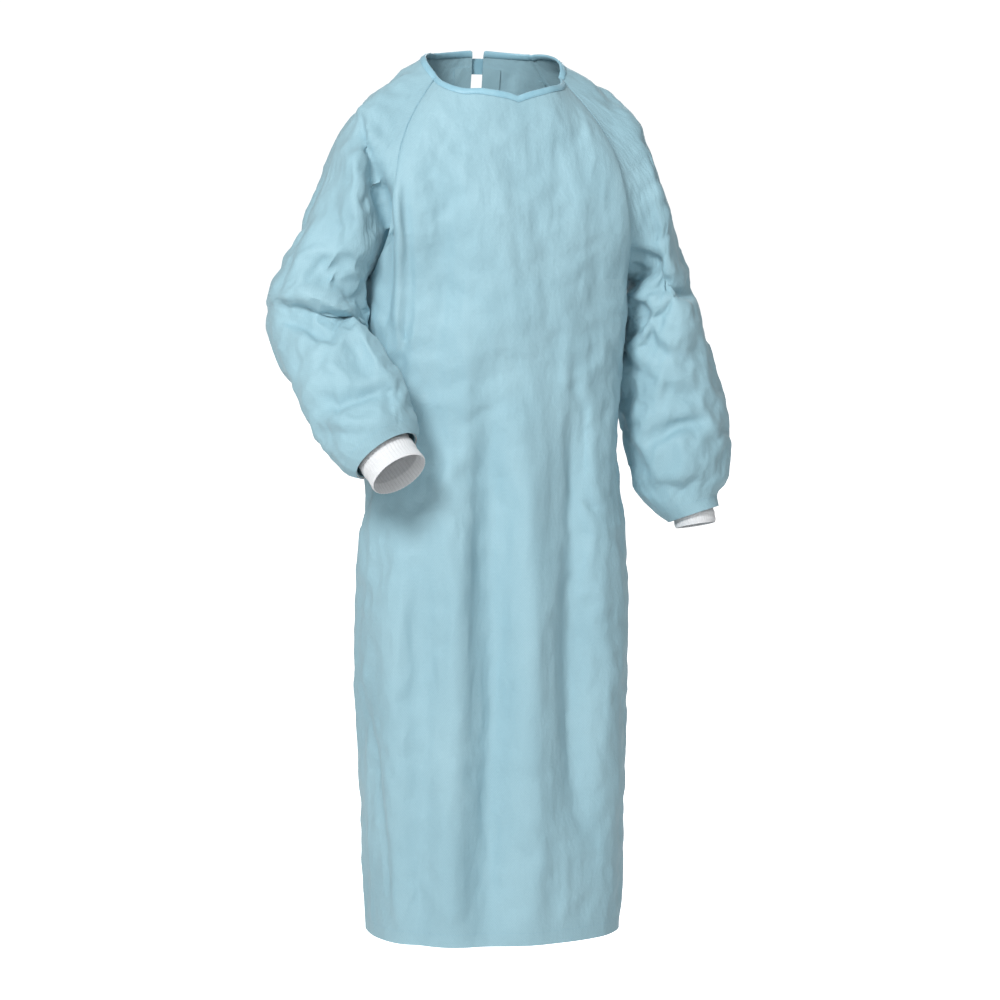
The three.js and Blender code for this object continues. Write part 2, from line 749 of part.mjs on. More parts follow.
function addSeams(side) {
  const column = (grid, index) => grid.rows.map((row) => row[index]);
  const capFirst = side.cap.rows[0];
  const capNext = side.cap.rows[1];
  const bodyColumns = side.name === 'left' ? [-1, -2] : [0, 1];
  const frontBeside = frontUpper.rows.map((row) => row.at(bodyColumns[1]));
  const frontSeamPoints = capFirst.slice(0, upperRows + 1);
  const frontCapPoints = capNext.slice(0, upperRows + 1);
  const frontTape = seamTape(frontBeside, frontSeamPoints, frontCapPoints, -side.cap.outward);
  addPiece(`${side.name}_raglan_tape_front`, sheetGeometry([frontTape], ...insideTape), trimPaint);

  const backSeamPoints = capFirst.slice(ringCells - upperRows).reverse();
  const backCapPoints = capNext.slice(ringCells - upperRows).reverse();
  const besideLow = column(side.gusset, 1).slice(0, gussetRows);
  const besideHigh = column(side.backUpper, 1).slice(gussetRows);
  const backTape = seamTape([...besideLow, ...besideHigh], backSeamPoints, backCapPoints, side.cap.outward);
  addPiece(`${side.name}_raglan_tape_back`, sheetGeometry([backTape], ...insideTape), trimPaint);

  const sideColumn = side.name === 'left' ? frontLower.rows[0].length - 1 : 0;
  const sideNext = side.name === 'left' ? sideColumn - 1 : 1;
  const seamBand = edgeBand(frontLower, sideColumn, sideNext, 2 * tapeHalf, rowsAboveHem(frontLower));
  addPiece(`${side.name}_side_seam_tape`, sheetGeometry([seamBand], ...insideStrip), trimPaint);
}

function addSleeve(side) {
  addPiece(`${side.name}_sleeve_cap`, cloth(side.cap), clothPaint);
  addPiece(`${side.name}_sleeve_shoulder_fold`, cloth(side.fold), clothPaint);
  addPiece(`${side.name}_sleeve`, cloth(side.tube), clothPaint);

  const elasticTop = -clothHalf - sleeveLayerGap;
  const hemTop = elasticTop - elasticThickness - sleeveLayerGap;
  const elasticBand = side.turn(sleeveEndBand(side.lines, elasticWidth));
  const hemBand = side.turn(sleeveEndBand(side.lines, sleeveHemWidth));
  const elastic = sheetGeometry([elasticBand], elasticTop - elasticThickness, elasticTop);
  addPiece(`${side.name}_cuff_elastic`, elastic, padPaint);
  const hem = sheetGeometry([hemBand], hemTop - trimThickness, hemTop);
  addPiece(`${side.name}_sleeve_hem`, hem, trimPaint);

  const { wide, deep, inside, showing } = side.cuff;
  const cuff = side.turn(cuffGrid(side.stations, side.elbow, side.wrist, wide, deep, inside, showing));
  addPiece(`${side.name}_knit_cuff`, sheetGeometry([cuff], -clothHalf, clothHalf), knitPaint);
}

function addNeckClosure() {
  const loopLift = outsideStrip[0];
  const hookLift = loopLift + trimThickness + sleeveLayerGap;
  const tabLift = hookLift + trimThickness + sleeveLayerGap;
  addPlate('neck_loop_pad', backPlate(tabTipX, tabTipX + padLength, loopLift, trimThickness), padPaint);
  addPlate('neck_hook_pad', backPlate(tabTipX, tabTipX + padLength, hookLift, trimThickness), padPaint);
  addPlate('neck_tab', backPlate(tabTipX, tabRootX, tabLift, tabThickness), bindingPaint);
}

function addWaistTie(side) {
  const patch = backRectangle(side.backLower, tieFromEdge, patchSize, waistDrop, waistDrop + patchSize, 2);
  const tieTop = waistDrop + patchSize / 2;
  const tie = backRectangle(side.backLower, tieFromEdge, tieWidth, tieTop, tieTop + tieLength, 8);
  const tieLift = outsideStrip[1] + layerGap;
  addPiece(`${side.name}_waist_tie_patch`, sheetGeometry([patch], ...outsideStrip), trimPaint);
  addPiece(`${side.name}_waist_tie`, sheetGeometry([tie], tieLift, tieLift + trimThickness), bindingPaint);
}

addBody();
for (const side of sides) {
  addBackPanels(side);
  addSeams(side);
  addSleeve(side);
  addWaistTie(side);
}
addNeckClosure();

export default gown;
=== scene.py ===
import math

import bmesh
import bpy
import numpy as np
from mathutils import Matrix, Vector, kdtree, noise


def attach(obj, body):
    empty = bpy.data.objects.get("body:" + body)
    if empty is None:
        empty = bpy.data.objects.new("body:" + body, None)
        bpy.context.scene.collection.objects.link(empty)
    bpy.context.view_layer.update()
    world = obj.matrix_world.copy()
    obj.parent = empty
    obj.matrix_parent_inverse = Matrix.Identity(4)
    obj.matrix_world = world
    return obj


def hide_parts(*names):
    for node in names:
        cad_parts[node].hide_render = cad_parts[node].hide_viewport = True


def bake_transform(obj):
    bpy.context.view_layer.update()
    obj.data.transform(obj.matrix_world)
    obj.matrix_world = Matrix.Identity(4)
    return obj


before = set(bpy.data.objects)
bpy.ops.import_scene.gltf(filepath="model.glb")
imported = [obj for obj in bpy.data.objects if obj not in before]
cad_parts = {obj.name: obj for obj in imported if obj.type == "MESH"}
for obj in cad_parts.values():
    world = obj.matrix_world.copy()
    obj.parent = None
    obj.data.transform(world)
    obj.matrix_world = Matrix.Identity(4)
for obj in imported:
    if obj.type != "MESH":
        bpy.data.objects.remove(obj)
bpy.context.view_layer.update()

# ---- Sizes, in metres: the gown's driving sizes, as in its CAD model ----

LEVELS = np.array([
    # drop, half width, front depth, back depth
    [0.295, 0.180, 0.120, 0.112],
    [0.520, 0.174, 0.119, 0.112],
    [0.780, 0.190, 0.135, 0.122],
    [1.190, 0.175, 0.142, 0.122],
])
UNDERARM_DROP = LEVELS[0, 0]
BODY_LENGTH = LEVELS[3, 0]
SQUARENESS = 2.3
NECK_HALF, NECK_FRONT, NECK_BACK = 0.092, 0.090, 0.074
NECK_DROP, NECK_RISE = 0.050, 0.014
SIDE_SEAM = np.array([0.134, 0.087])
SIDE_SEAM_DROP = 0.190
OPENING_TOP, OPENING_HEM = 0.016, 0.050

CLOTH = 0.0006               # thickness of the nonwoven
ARM_CELLS = 30               # cells of the armhole along each raglan seam
NECK_CELLS = 12              # and along the side of the neck


# ---- Small helpers ----

def smooth(x):
    x = np.clip(x, 0, 1)
    return x * x * (3 - 2 * x)


def powered(x, power):
    return np.sign(x) * np.abs(x) ** power


def unit(v):
    return v / np.maximum(np.linalg.norm(v, axis=-1, keepdims=True), 1e-12)


def mixed(a, b, t):
    """a to b by shares t; the result has t's shape, with a last axis of x, y and z."""
    t = np.asarray(t, float)[..., None]
    return a * (1 - t) + b * t


def bezier(a, b, c, t):
    return (1 - t) ** 2 * a + 2 * t * (1 - t) * b + t ** 2 * c


def gathered(count, index, values):
    """The sum of the values that go to each of count places, and how many go there."""
    total = np.zeros((count, 3))
    uses = np.zeros(count)
    np.add.at(total, index, values)
    np.add.at(uses, index, 1)
    return total, uses


def placed(name, data):
    """A new object in the scene."""
    made = bpy.data.objects.new(name, data)
    bpy.context.scene.collection.objects.link(made)
    return made


# ---- The gown's surface, the same curves as the CAD model's ----

UNDERARM = np.array([LEVELS[0, 1], 0, -UNDERARM_DROP])
SEAM_TOP = np.array([*SIDE_SEAM, -SIDE_SEAM_DROP])
CHEST_SEAM = np.array([*SIDE_SEAM, -UNDERARM_DROP])
NECK_FRONT_SIDE = np.array([NECK_HALF - 0.006, -0.034, -0.026])
NECK_SHOULDER = np.array([NECK_HALF, 0.004, 0])
NECK_BACK_SIDE = np.array([NECK_HALF - 0.022, NECK_BACK - 0.022, NECK_RISE - 0.006])


def body_at(drop):
    """Half width, front depth and back depth at each drop."""
    size = np.repeat(LEVELS[0:1, 1:], len(drop), axis=0)
    for above, below in zip(LEVELS[:-1], LEVELS[1:]):
        share = smooth((drop - above[0]) / (below[0] - above[0]))[:, None]
        inside = (drop > above[0])[:, None]
        size = np.where(inside, above[1:] + (below[1:] - above[1:]) * share, size)
    return size


def front_rows(drops, degrees):
    """Rows of the front panel, which wraps round the sides to the side-back seams."""
    size = body_at(drops)
    side = np.sign(degrees)
    angle = np.radians(np.abs(degrees))[None, :]
    back = angle > math.pi / 2
    depth = np.where(back, size[:, 2:3], size[:, 1:2])
    x = size[:, 0:1] * powered(np.sin(angle), 2 / SQUARENESS)
    y = -depth * powered(np.cos(angle), 2 / SQUARENESS)
    corner = powered(math.sin(0.75 * math.pi), 2 / SQUARENESS)
    share = np.where(back, np.sin(2 * (angle - math.pi / 2)) ** 2, 0)
    x = x + (SIDE_SEAM[0] - size[:, 0:1] * corner) * share
    y = y + (SIDE_SEAM[1] - size[:, 2:3] * corner) * share
    z = np.repeat(-drops[:, None], len(degrees), axis=1)
    return np.stack([side * x, y, z], axis=-1)


def front_seam(t):
    bulge = np.stack([0.027 * np.sin(math.pi * t ** 1.6), -0.084 * np.sin(math.pi * t ** 0.65), 0 * t], -1)
    return mixed(UNDERARM, NECK_FRONT_SIDE, t) + bulge


def back_seam_low(t):
    swell = np.sin(math.pi * t)
    return mixed(UNDERARM, SEAM_TOP, t) + np.stack([0.008 * swell, 0.014 * swell, 0 * t], -1)


def back_seam_high(t):
    swell = np.sin(math.pi * t)
    return mixed(SEAM_TOP, NECK_BACK_SIDE, t) + np.stack([0.020 * swell, 0.018 * swell, 0 * t], -1)


def front_upper():
    t = np.linspace(0, 1, ARM_CELLS + 1)
    degrees = np.radians(np.linspace(-90, 90, 49))
    seam = front_seam(t)
    middle = mixed(np.array([0, -LEVELS[0, 2], -UNDERARM_DROP]), np.array([0, -NECK_FRONT, -NECK_DROP]), t)
    middle[:, 1] -= 0.010 * np.sin(math.pi * t)
    forward = powered(np.cos(degrees), 2 / SQUARENESS)[None, :, None]
    rows = seam[:, None] * (1 - forward) + middle[:, None] * forward
    rows[..., 0] = seam[:, None, 0] * powered(np.sin(degrees), 2 / SQUARENESS)
    return rows


def gusset():
    t = np.linspace(0, 1, ARM_CELLS // 2 + 1)
    base = front_rows(np.array([UNDERARM_DROP]), np.linspace(90, 135, 13))[0]
    along = np.linspace(0, 1, 13)
    swell = base - mixed(base[0], base[-1], along)
    start = back_seam_low(t)[:, None]
    end = mixed(CHEST_SEAM, SEAM_TOP, t)[:, None]
    return start * (1 - along[:, None]) + end * along[:, None] + swell * (1 - t)[:, None, None]


def back_rows(seam, edge, cells=12):
    bend = np.stack([0.62 * seam[:, 0], edge[:, 1], (seam[:, 2] + edge[:, 2]) / 2], -1)
    t = np.linspace(0, 1, cells + 1)[None, :, None]
    return bezier(seam[:, None], bend[:, None], edge[:, None], t)


def back_lower(drops):
    share = smooth((drops - UNDERARM_DROP) / (BODY_LENGTH - UNDERARM_DROP))
    edge_x = (OPENING_TOP + (OPENING_HEM - OPENING_TOP) * share) / 2
    edge = np.stack([edge_x, body_at(drops)[:, 2], -drops], -1)
    seam = np.stack([0 * drops + SIDE_SEAM[0], 0 * drops + SIDE_SEAM[1], -drops], -1)
    return back_rows(seam, edge)


def back_upper():
    half = ARM_CELLS // 2
    low = mixed(CHEST_SEAM, SEAM_TOP, np.linspace(0, 1, half + 1))
    seam = np.vstack([low, back_seam_high(np.linspace(0, 1, half + 1))[1:]])
    t = np.linspace(0, 1, ARM_CELLS + 1)
    bottom = np.array([OPENING_TOP / 2, LEVELS[0, 3], -UNDERARM_DROP])
    top = np.array([OPENING_TOP / 2, NECK_BACK, NECK_RISE])
    edge = mixed(bottom, top, t)
    edge[:, 1] += 0.013 * np.sin(math.pi * t)
    return back_rows(seam, edge)


# ---- Sleeves ----
# Each station is a ring: its centre from the underarm point, the way from its body side to its outer side,
# its two half sizes and, where it isn't the line between its neighbours, the way the sleeve runs.

SHOULDER = ([0.023, 0.002, 0.103], [0.02, 0, 1], 0.112, 0.084, [1, 0, -0.5])
DOWN = [0.10, -0.18, -0.98]
HANGING = [
    SHOULDER,
    ([0.050, 0.004, 0.003], [0.66, 0, 0.75], 0.054, 0.084, None),
    ([0.067, 0.010, -0.093], [0.95, 0, 0.31], 0.056, 0.078, None),
    ([0.077, 0.008, -0.163], [1, 0, 0.05], 0.069, 0.076, None),
    ([0.084, -0.004, -0.235], [1, 0, 0], 0.073, 0.072, None),
    ([0.086, -0.013, -0.283], [1, 0, 0.05], 0.067, 0.064, DOWN),
    ([0.091, -0.021, -0.312], [0.98, 0, 0.2], 0.046, 0.046, DOWN),
    ([0.102, -0.027, -0.328], [0.96, 0, 0.28], 0.036, 0.042, DOWN),
]
BENT = [
    SHOULDER,
    ([0.055, -0.010, 0.010], [0.68, 0.2, 0.7], 0.057, 0.076, None),
    ([0.068, -0.017, -0.037], [0.9, 0.4, 0.16], 0.062, 0.070, None),
    ([0.070, -0.008, -0.070], [0.87, 0.49, 0], 0.064, 0.066, None),
    ([0.052, -0.075, -0.125], [0.91, 0.05, -0.41], 0.060, 0.062, None),
    ([0.018, -0.132, -0.200], [0.86, 0, -0.5], 0.062, 0.058, None),
    ([0.008, -0.150, -0.223], [0.86, 0, -0.5], 0.056, 0.050, None),
    ([0.004, -0.157, -0.232], [0.86, 0, -0.5], 0.047, 0.041, None),
]
SLEEVE_ROWS = 76


def ring_angles():
    """The ring's angles: the armhole's cells are not evenly spread round it."""
    corners = [0, 6, 10, 16]
    counts = [ARM_CELLS, NECK_CELLS, ARM_CELLS]
    parts = [np.linspace(a, b, n + 1)[:-1] for a, b, n in zip(corners, corners[1:], counts)]
    return math.pi - 2 * math.pi * np.append(np.concatenate(parts), 16) / 16


def ring_points(centre, out, travel, wide, deep, angles):
    ahead = unit(np.cross(travel, out))
    return centre + wide * np.cos(angles)[:, None] * out + deep * np.sin(angles)[:, None] * ahead


def armhole():
    bend = 2 * NECK_SHOULDER - (NECK_FRONT_SIDE + NECK_BACK_SIDE) / 2
    up = np.linspace(0, 1, ARM_CELLS + 1)
    down = 1 - np.linspace(0, 1, ARM_CELLS // 2 + 1)
    side = bezier(NECK_FRONT_SIDE, bend, NECK_BACK_SIDE, np.linspace(0, 1, NECK_CELLS + 1)[:, None])
    return np.vstack([front_seam(up), side[1:], back_seam_high(down)[1:], back_seam_low(down)[1:]])


def station_rings(stations, angles):
    centres = [UNDERARM + np.array(s[0]) for s in stations]
    rings = []
    for i, (_, out, wide, deep, travel) in enumerate(stations):
        if travel is None:
            travel = centres[min(i + 1, len(centres) - 1)] - centres[max(i - 1, 0)]
        out = unit(np.array(out, float))
        rings.append(ring_points(centres[i], out, np.array(travel), wide, deep, angles))
    return rings


def flowing(points, places):
    """A centripetal Catmull-Rom line through points (n, m, 3), at places counted in points."""
    ends = [2 * points[0] - points[1], *points, 2 * points[-1] - points[-2]]
    out = []
    for place in places:
        i = min(int(place), len(points) - 2)
        p0, p1, p2, p3 = ends[i:i + 4]
        steps = [np.maximum(np.linalg.norm(b - a, axis=-1), 1e-6)[:, None] ** 0.5
                 for a, b in ((p0, p1), (p1, p2), (p2, p3))]
        d0, d1, d2 = steps
        m1 = ((p1 - p0) / d0 - (p2 - p0) / (d0 + d1) + (p2 - p1) / d1) * d1
        m2 = ((p2 - p1) / d1 - (p3 - p1) / (d1 + d2) + (p3 - p2) / d2) * d1
        t = place - i
        out.append((2 * t ** 3 - 3 * t ** 2 + 1) * p1 + (t ** 3 - 2 * t ** 2 + t) * m1
                   + (3 * t ** 2 - 2 * t ** 3) * p2 + (t ** 3 - t ** 2) * m2)
    return np.array(out)


def sleeve(stations):
    angles = ring_angles()
    rings = np.array([armhole(), *station_rings(stations, angles)])
    count = 20 * (len(rings) - 1)
    raw = flowing(rings, np.linspace(0, len(rings) - 1, count + 1))
    lengths = np.linalg.norm(np.diff(raw, axis=0), axis=-1).mean(axis=1)
    travelled = np.append(0, np.cumsum(lengths))
    evenly = np.linspace(0, travelled[-1], SLEEVE_ROWS + 1)
    places = np.interp(evenly, travelled, np.linspace(0, len(rings) - 1, count + 1))
    return flowing(rings, places)


# ---- The whole gown as one welded mesh of grids ----

class Garment:
    """Named grids of points, welded where they touch. The order of a grid's corners gives its outside."""

    def __init__(self):
        self.raw = {}
        self.sign = {}

    def add(self, name, rows, sign):
        self.raw[name] = rows
        self.sign[name] = sign

    def weld(self):
        flat = np.vstack([rows.reshape(-1, 3) for rows in self.raw.values()])
        keys = np.round(flat * 2e4).astype(np.int64)
        _, first, inverse = np.unique(keys, axis=0, return_index=True, return_inverse=True)
        self.points = flat[first]
        inverse = inverse.reshape(-1)
        self.grid = {}
        start = 0
        for name, rows in self.raw.items():
            size = rows.shape[0] * rows.shape[1]
            self.grid[name] = inverse[start:start + size].reshape(rows.shape[:2])
            start += size

    def quads(self, name):
        g = self.grid[name]
        q = np.stack([g[:-1, :-1], g[:-1, 1:], g[1:, 1:], g[1:, :-1]], -1).reshape(-1, 4)
        return q if self.sign[name] > 0 else q[:, ::-1]

    def all_quads(self):
        return np.vstack([self.quads(name) for name in self.grid])

    def finer(self):
        """One step of Catmull-Clark subdivision, which keeps every grid a grid."""
        points = self.points
        faces = self.all_quads()
        count = len(points)
        centres = points[faces].mean(axis=1)
        pairs = np.stack([faces, np.roll(faces, -1, axis=1)], -1).reshape(-1, 2)
        owner = np.repeat(np.arange(len(faces)), 4)
        real = pairs[:, 0] != pairs[:, 1]
        pairs, owner = np.sort(pairs[real], axis=1), owner[real]
        edges, inverse, uses = np.unique(pairs, axis=0, return_inverse=True, return_counts=True)
        inverse = inverse.reshape(-1)
        beside, _ = gathered(len(edges), inverse, centres[owner])
        middle = points[edges].mean(axis=1)
        border = uses == 1
        made = (middle * 2 + beside) / 4
        made[border] = middle[border]

        face_sum, face_uses = gathered(count, faces.reshape(-1), np.repeat(centres, 4, axis=0))
        edge_sum, edge_uses = gathered(count, edges.T.reshape(-1), np.tile(middle, (2, 1)))
        n = edge_uses[:, None]
        moved = (face_sum / face_uses[:, None] + 2 * edge_sum / n + (n - 3) * points) / n
        rim, rim_uses = gathered(count, edges[border].T.reshape(-1), np.tile(middle[border], (2, 1)))
        on_rim = rim_uses > 0
        moved[on_rim] = (rim[on_rim] / rim_uses[on_rim, None] + points[on_rim]) / 2

        code = {(int(a), int(b)): count + i for i, (a, b) in enumerate(edges)}

        def between(a, b):
            flat = [int(i) if i == j else code[(min(int(i), int(j)), max(int(i), int(j)))]
                    for i, j in zip(a.reshape(-1), b.reshape(-1))]
            return np.array(flat).reshape(a.shape)

        result = Garment()
        result.sign = dict(self.sign)
        result.points = np.vstack([moved, made, centres])
        result.grid = {}
        start = count + len(edges)
        for name, g in self.grid.items():
            rows, columns = g.shape
            fine = np.empty((2 * rows - 1, 2 * columns - 1), np.int64)
            fine[::2, ::2] = g
            fine[::2, 1::2] = between(g[:, :-1], g[:, 1:])
            fine[1::2, ::2] = between(g[:-1], g[1:])
            size = (rows - 1) * (columns - 1)
            fine[1::2, 1::2] = np.arange(start, start + size).reshape(rows - 1, columns - 1)
            result.grid[name] = fine
            start += size
        return result


def vertex_normals(points, faces):
    across = points[faces[:, 2]] - points[faces[:, 0]]
    along = points[faces[:, 3]] - points[faces[:, 1]]
    flat = np.cross(across, along)
    return unit(gathered(len(points), faces.T.reshape(-1), np.tile(flat, (4, 1)))[0])


def mirror(rows):
    return rows * np.array([-1, 1, 1])


def build_garment():
    drops = np.linspace(UNDERARM_DROP, BODY_LENGTH, 91)[::-1]
    made = Garment()
    made.add("front_upper", front_upper(), 1)
    made.add("front_lower", front_rows(drops, np.linspace(-135, 135, 73)), 1)
    sides = (("left", lambda rows: rows, 1, HANGING), ("right", mirror, -1, BENT))
    for side, turn, sign, stations in sides:
        made.add(f"{side}_gusset", turn(gusset()), sign)
        made.add(f"{side}_back_upper", turn(back_upper()), sign)
        made.add(f"{side}_back_lower", turn(back_lower(drops)), sign)
        made.add(f"{side}_sleeve", turn(sleeve(stations)), -sign)
    made.weld()
    return made


gown = build_garment()


# ---- Big folds, placed in the plane seen from the gown's front right ----

TURN = math.radians(15)
ACROSS = np.array([math.cos(TURN), -math.sin(TURN), 0])
TOWARDS = np.array([-math.sin(TURN), -math.cos(TURN), 0])


def gown_region(*names):
    mask = np.zeros(len(gown.points), bool)
    for name in names:
        mask[gown.grid[name].reshape(-1)] = True
    return mask


def along_line(points, line):
    """Distance to a broken line, and the share of its length at the nearest place."""
    lengths = np.linalg.norm(np.diff(line, axis=0), axis=1)
    starts = np.append(0, np.cumsum(lengths))
    best = np.full(len(points), np.inf)
    share = np.zeros(len(points))
    for i, length in enumerate(lengths):
        way = (line[i + 1] - line[i]) / length
        t = np.clip((points - line[i]) @ way, 0, length)
        gap = np.linalg.norm(points - line[i] - t[:, None] * way, axis=1)
        closer = gap < best
        best[closer] = gap[closer]
        share[closer] = (starts[i] + t[closer]) / starts[-1]
    return best, share


def fold(line, width, height, where, fade=0.25):
    """Raises (or lowers, where height is negative) the cloth that faces the front along a line."""
    normals = vertex_normals(gown.points, gown.all_quads())
    flat = np.stack([gown.points @ ACROSS, gown.points[:, 2]], -1)
    gap, share = along_line(flat, line)
    ends = smooth(share / fade) * smooth((1 - share) / fade)
    facing = smooth((normals @ TOWARDS + 0.1) / 0.4)
    amount = height * np.exp(-(gap / width) ** 2) * ends * facing * where
    gown.points += normals * amount[:, None]


# Each fold in millimetres: its line (across, up), half width and height.
# Broad folds, shaped before the cloth settles
BODY_FOLDS = [
    ([(-52, -480), (-50, -800), (-58, -1260)], 24, 13),
    ([(-6, -380), (4, -800), (-6, -1260)], 21, -24),
    ([(50, -400), (52, -800), (54, -1260)], 21, 13),
    ([(112, -400), (116, -700), (110, -1120)], 16, -18),
    ([(152, -480), (158, -800), (152, -1260)], 20, 8),
    ([(-125, -560), (-130, -850), (-122, -1260)], 30, 10),
    ([(-98, -620), (-95, -900), (-100, -1260)], 16, -9),
    ([(10, -130), (5, -300), (15, -430)], 45, 7),
    ([(-75, -170), (-70, -330), (-80, -480)], 22, -6),
]
RIGHT_FOLDS = [
    ([(-163, -100), (-156, -160), (-132, -237), (-148, -350)], 13, -20),
    ([(-190, -100), (-182, -190), (-176, -285)], 20, 12),
    ([(-250, -300), (-205, -285), (-180, -320), (-160, -350)], 17, -11),
    ([(-282, -312), (-232, -327), (-189, -340), (-142, -418), (-100, -470)], 12, 12),
    ([(-290, -350), (-250, -356), (-190, -376)], 12, -7),
    ([(-232, -441), (-200, -460), (-175, -448), (-140, -440), (-110, -449)], 13, -8),
    ([(-230, -475), (-175, -482), (-120, -478)], 12, 6),
]
LEFT_FOLDS = [
    ([(175, -262), (222, -278), (190, -296)], 12, -15),
    ([(175, -318), (215, -328), (232, -350)], 11, 9),
    ([(210, -292), (290, -325)], 16, -10),
    ([(180, -356), (212, -362), (196, -392), (206, -425)], 12, 8),
    ([(230, -400), (262, -360), (300, -350)], 28, 9),
    ([(225, -450), (290, -462)], 14, -7),
    ([(205, -535), (240, -502), (300, -492)], 13, -7),
    ([(210, -580), (262, -588), (300, -558)], 13, -5),
    ([(255, -495), (268, -580)], 15, 5),
    ([(188, -430), (182, -490), (205, -580)], 12, -8),
]

# Narrow creases, pressed into the settled cloth
BODY_CREASES = [
    ([(-178, -815), (-157, -942), (-147, -1045), (-134, -1180)], 5, -4.5),
    ([(100, -416), (126, -475), (122, -584)], 5, -4.5),
    ([(-164, -572), (-178, -641)], 6, -7),
    ([(172, -538), (182, -634)], 6, -7),
    ([(112, -565), (138, -640), (128, -715)], 5, 4),
    ([(120, -590), (142, -610)], 4, -3.5),
    ([(-60, -230), (-68, -390)], 5, -2),
    ([(20, -270), (16, -420)], 5, -1.8),
    ([(-30, -240), (-34, -520)], 5, 1.8),
    ([(-20, -600), (-24, -980)], 6, -3.5),
    ([(98, -640), (102, -960)], 5, -4),
]
RIGHT_CREASES = [
    ([(-176, -68), (-170, -105), (-160, -140)], 5, -6),
    ([(-212, -122), (-250, -214), (-288, -335)], 5, -6),
    ([(-262, -312), (-232, -322), (-189, -338), (-142, -416)], 4.5, 3.5),
    ([(-216, -262), (-250, -305)], 6, -3.5),
]
LEFT_CREASES = [
    ([(182, -276), (214, -288), (190, -302)], 6, -6),
    ([(186, -332), (206, -334), (216, -350)], 6, -4.5),
    ([(220, -305), (250, -318), (284, -322)], 7, -4),
    ([(196, -362), (214, -366), (200, -388), (208, -418)], 5, 3.5),
    ([(218, -522), (254, -498), (302, -490)], 7, -3),
]

# Creases at the bent arm's armpit, which cross from the sleeve on to the body
ARMPIT_CREASES = [
    ([(-158, -130), (-146, -188), (-132, -240), (-136, -300), (-146, -380)], 8, -11),
    ([(-128, -150), (-122.5, -230), (-125, -330), (-122, -420)], 6.5, 5),
    ([(-116, -150), (-110, -245), (-114, -350), (-128, -440)], 6, -7.5),
]


def press_folds(body, right, left, armpit=()):
    where = {
        "armpit": gown_region("front_upper", "front_lower", "right_gusset", "right_sleeve"),
        "body": gown_region("front_upper", "front_lower", "left_gusset", "right_gusset"),
        "right": gown_region("right_sleeve"),
        "left": gown_region("left_sleeve"),
    }
    for part, folds in (("body", body), ("right", right), ("left", left), ("armpit", armpit)):
        for line, width, height in folds:
            fold(np.array(line) / 1000, width / 1000, height / 1000, where[part])


def edge_distance():
    """Each point's distance from the gown's free edges and from its raglan seams, as one array."""
    rows = [gown.grid["front_lower"][0], gown.grid["front_upper"][-1]]
    for side in ("left", "right"):
        rows += [gown.grid[f"{side}_back_lower"][0], gown.grid[f"{side}_back_upper"][-1]]
        rows += [gown.grid[f"{side}_sleeve"][0], gown.grid[f"{side}_sleeve"][-1]]
        rows += [gown.grid[f"{side}_back_lower"][:, -1], gown.grid[f"{side}_back_upper"][:, -1]]
    edge = np.unique(np.concatenate(rows))
    tree = kdtree.KDTree(len(edge))
    for i, place in enumerate(gown.points[edge]):
        tree.insert(place, i)
    tree.balance()
    return np.array([tree.find(Vector(p))[2] for p in gown.points])


def crumple(points, waves):
    """Sharp-ridged waves of cloth that has been folded and worn: (across, along, height) each."""
    height = np.zeros(len(points))
    for k, (across, along, size) in enumerate(waves):
        scaled = points / np.array([across, across, along]) + 17.3 * (k + 1)
        value = np.array([noise.noise(Vector(p)) for p in scaled])
        height += size * (1 - 2 * np.abs(value) ** 0.8 - 0.35)
    return height


def smooth_chest():
    """Takes the break in slope out of the chest, where its upper and lower grids meet."""
    faces = gown.all_quads()
    pairs = np.vstack([faces[:, [k, (k + 1) % 4]] for k in range(4)])
    body = gown_region("front_upper", "front_lower")
    other = gown_region("left_sleeve", "right_sleeve", "left_gusset", "right_gusset")
    share = np.clip(1 - np.abs(gown.points[:, 2] + UNDERARM_DROP) / 0.06, 0, 1) * (body & ~other)
    for _ in range(40):
        beside = gown.points[pairs[:, ::-1].T.reshape(-1)]
        total, uses = gathered(len(gown.points), pairs.T.reshape(-1), beside)
        gown.points += (total / uses[:, None] - gown.points) * (0.6 * share)[:, None]


def lean_sleeve_in():
    """Lets the bent sleeve's front hang against the body, so that no gap shows between them."""
    p = gown.points
    near = np.exp(-((p[:, 2] + 0.285) / 0.075) ** 2) * smooth((-p[:, 1] + 0.02) / 0.05)
    inner = smooth((p[:, 0] + 0.285) / 0.09)
    gown.points += ACROSS * (0.020 * near * inner * gown_region("right_sleeve"))[:, None]


def fill_left_side():
    """Brings the body's left side and the hanging sleeve together, so that no gap shows there."""
    x, _, z = gown.points.T
    body = np.exp(-((z + 0.33) / 0.12) ** 2) * smooth((x - 0.10) / 0.07)
    body = body * gown_region("front_lower", "front_upper") * ~gown_region("left_sleeve")
    arm = np.exp(-((z + 0.39) / 0.07) ** 2) * smooth((0.235 - x) / 0.05) * gown_region("left_sleeve")
    gown.points[:, 0] += 0.008 * body - 0.006 * arm


smooth_chest()
flat_points = gown.points.copy()
lean_sleeve_in()
fill_left_side()
press_folds(BODY_FOLDS, RIGHT_FOLDS, LEFT_FOLDS)


def object_from(name, points, faces):
    faces = [list(dict.fromkeys(int(i) for i in face)) for face in faces]
    mesh = bpy.data.meshes.new(name)
    mesh.from_pydata(points.tolist(), [], faces)
    return placed(name, mesh)


def set_group(made, name, weights):
    group = made.vertex_groups.new(name=name)
    for level in np.unique(np.round(weights, 2)):
        members = np.flatnonzero(np.round(weights, 2) == level)
        group.add([int(i) for i in members], float(level), "REPLACE")


BODY_SPARE, SLEEVE_SPARE = 0.009, 0.045     # how much too large the settling cloth is cut
BODY_REACH, SLEEVE_REACH = 0.004, 0.009     # how far settling may move a point
SETTLE_FRAMES = 26


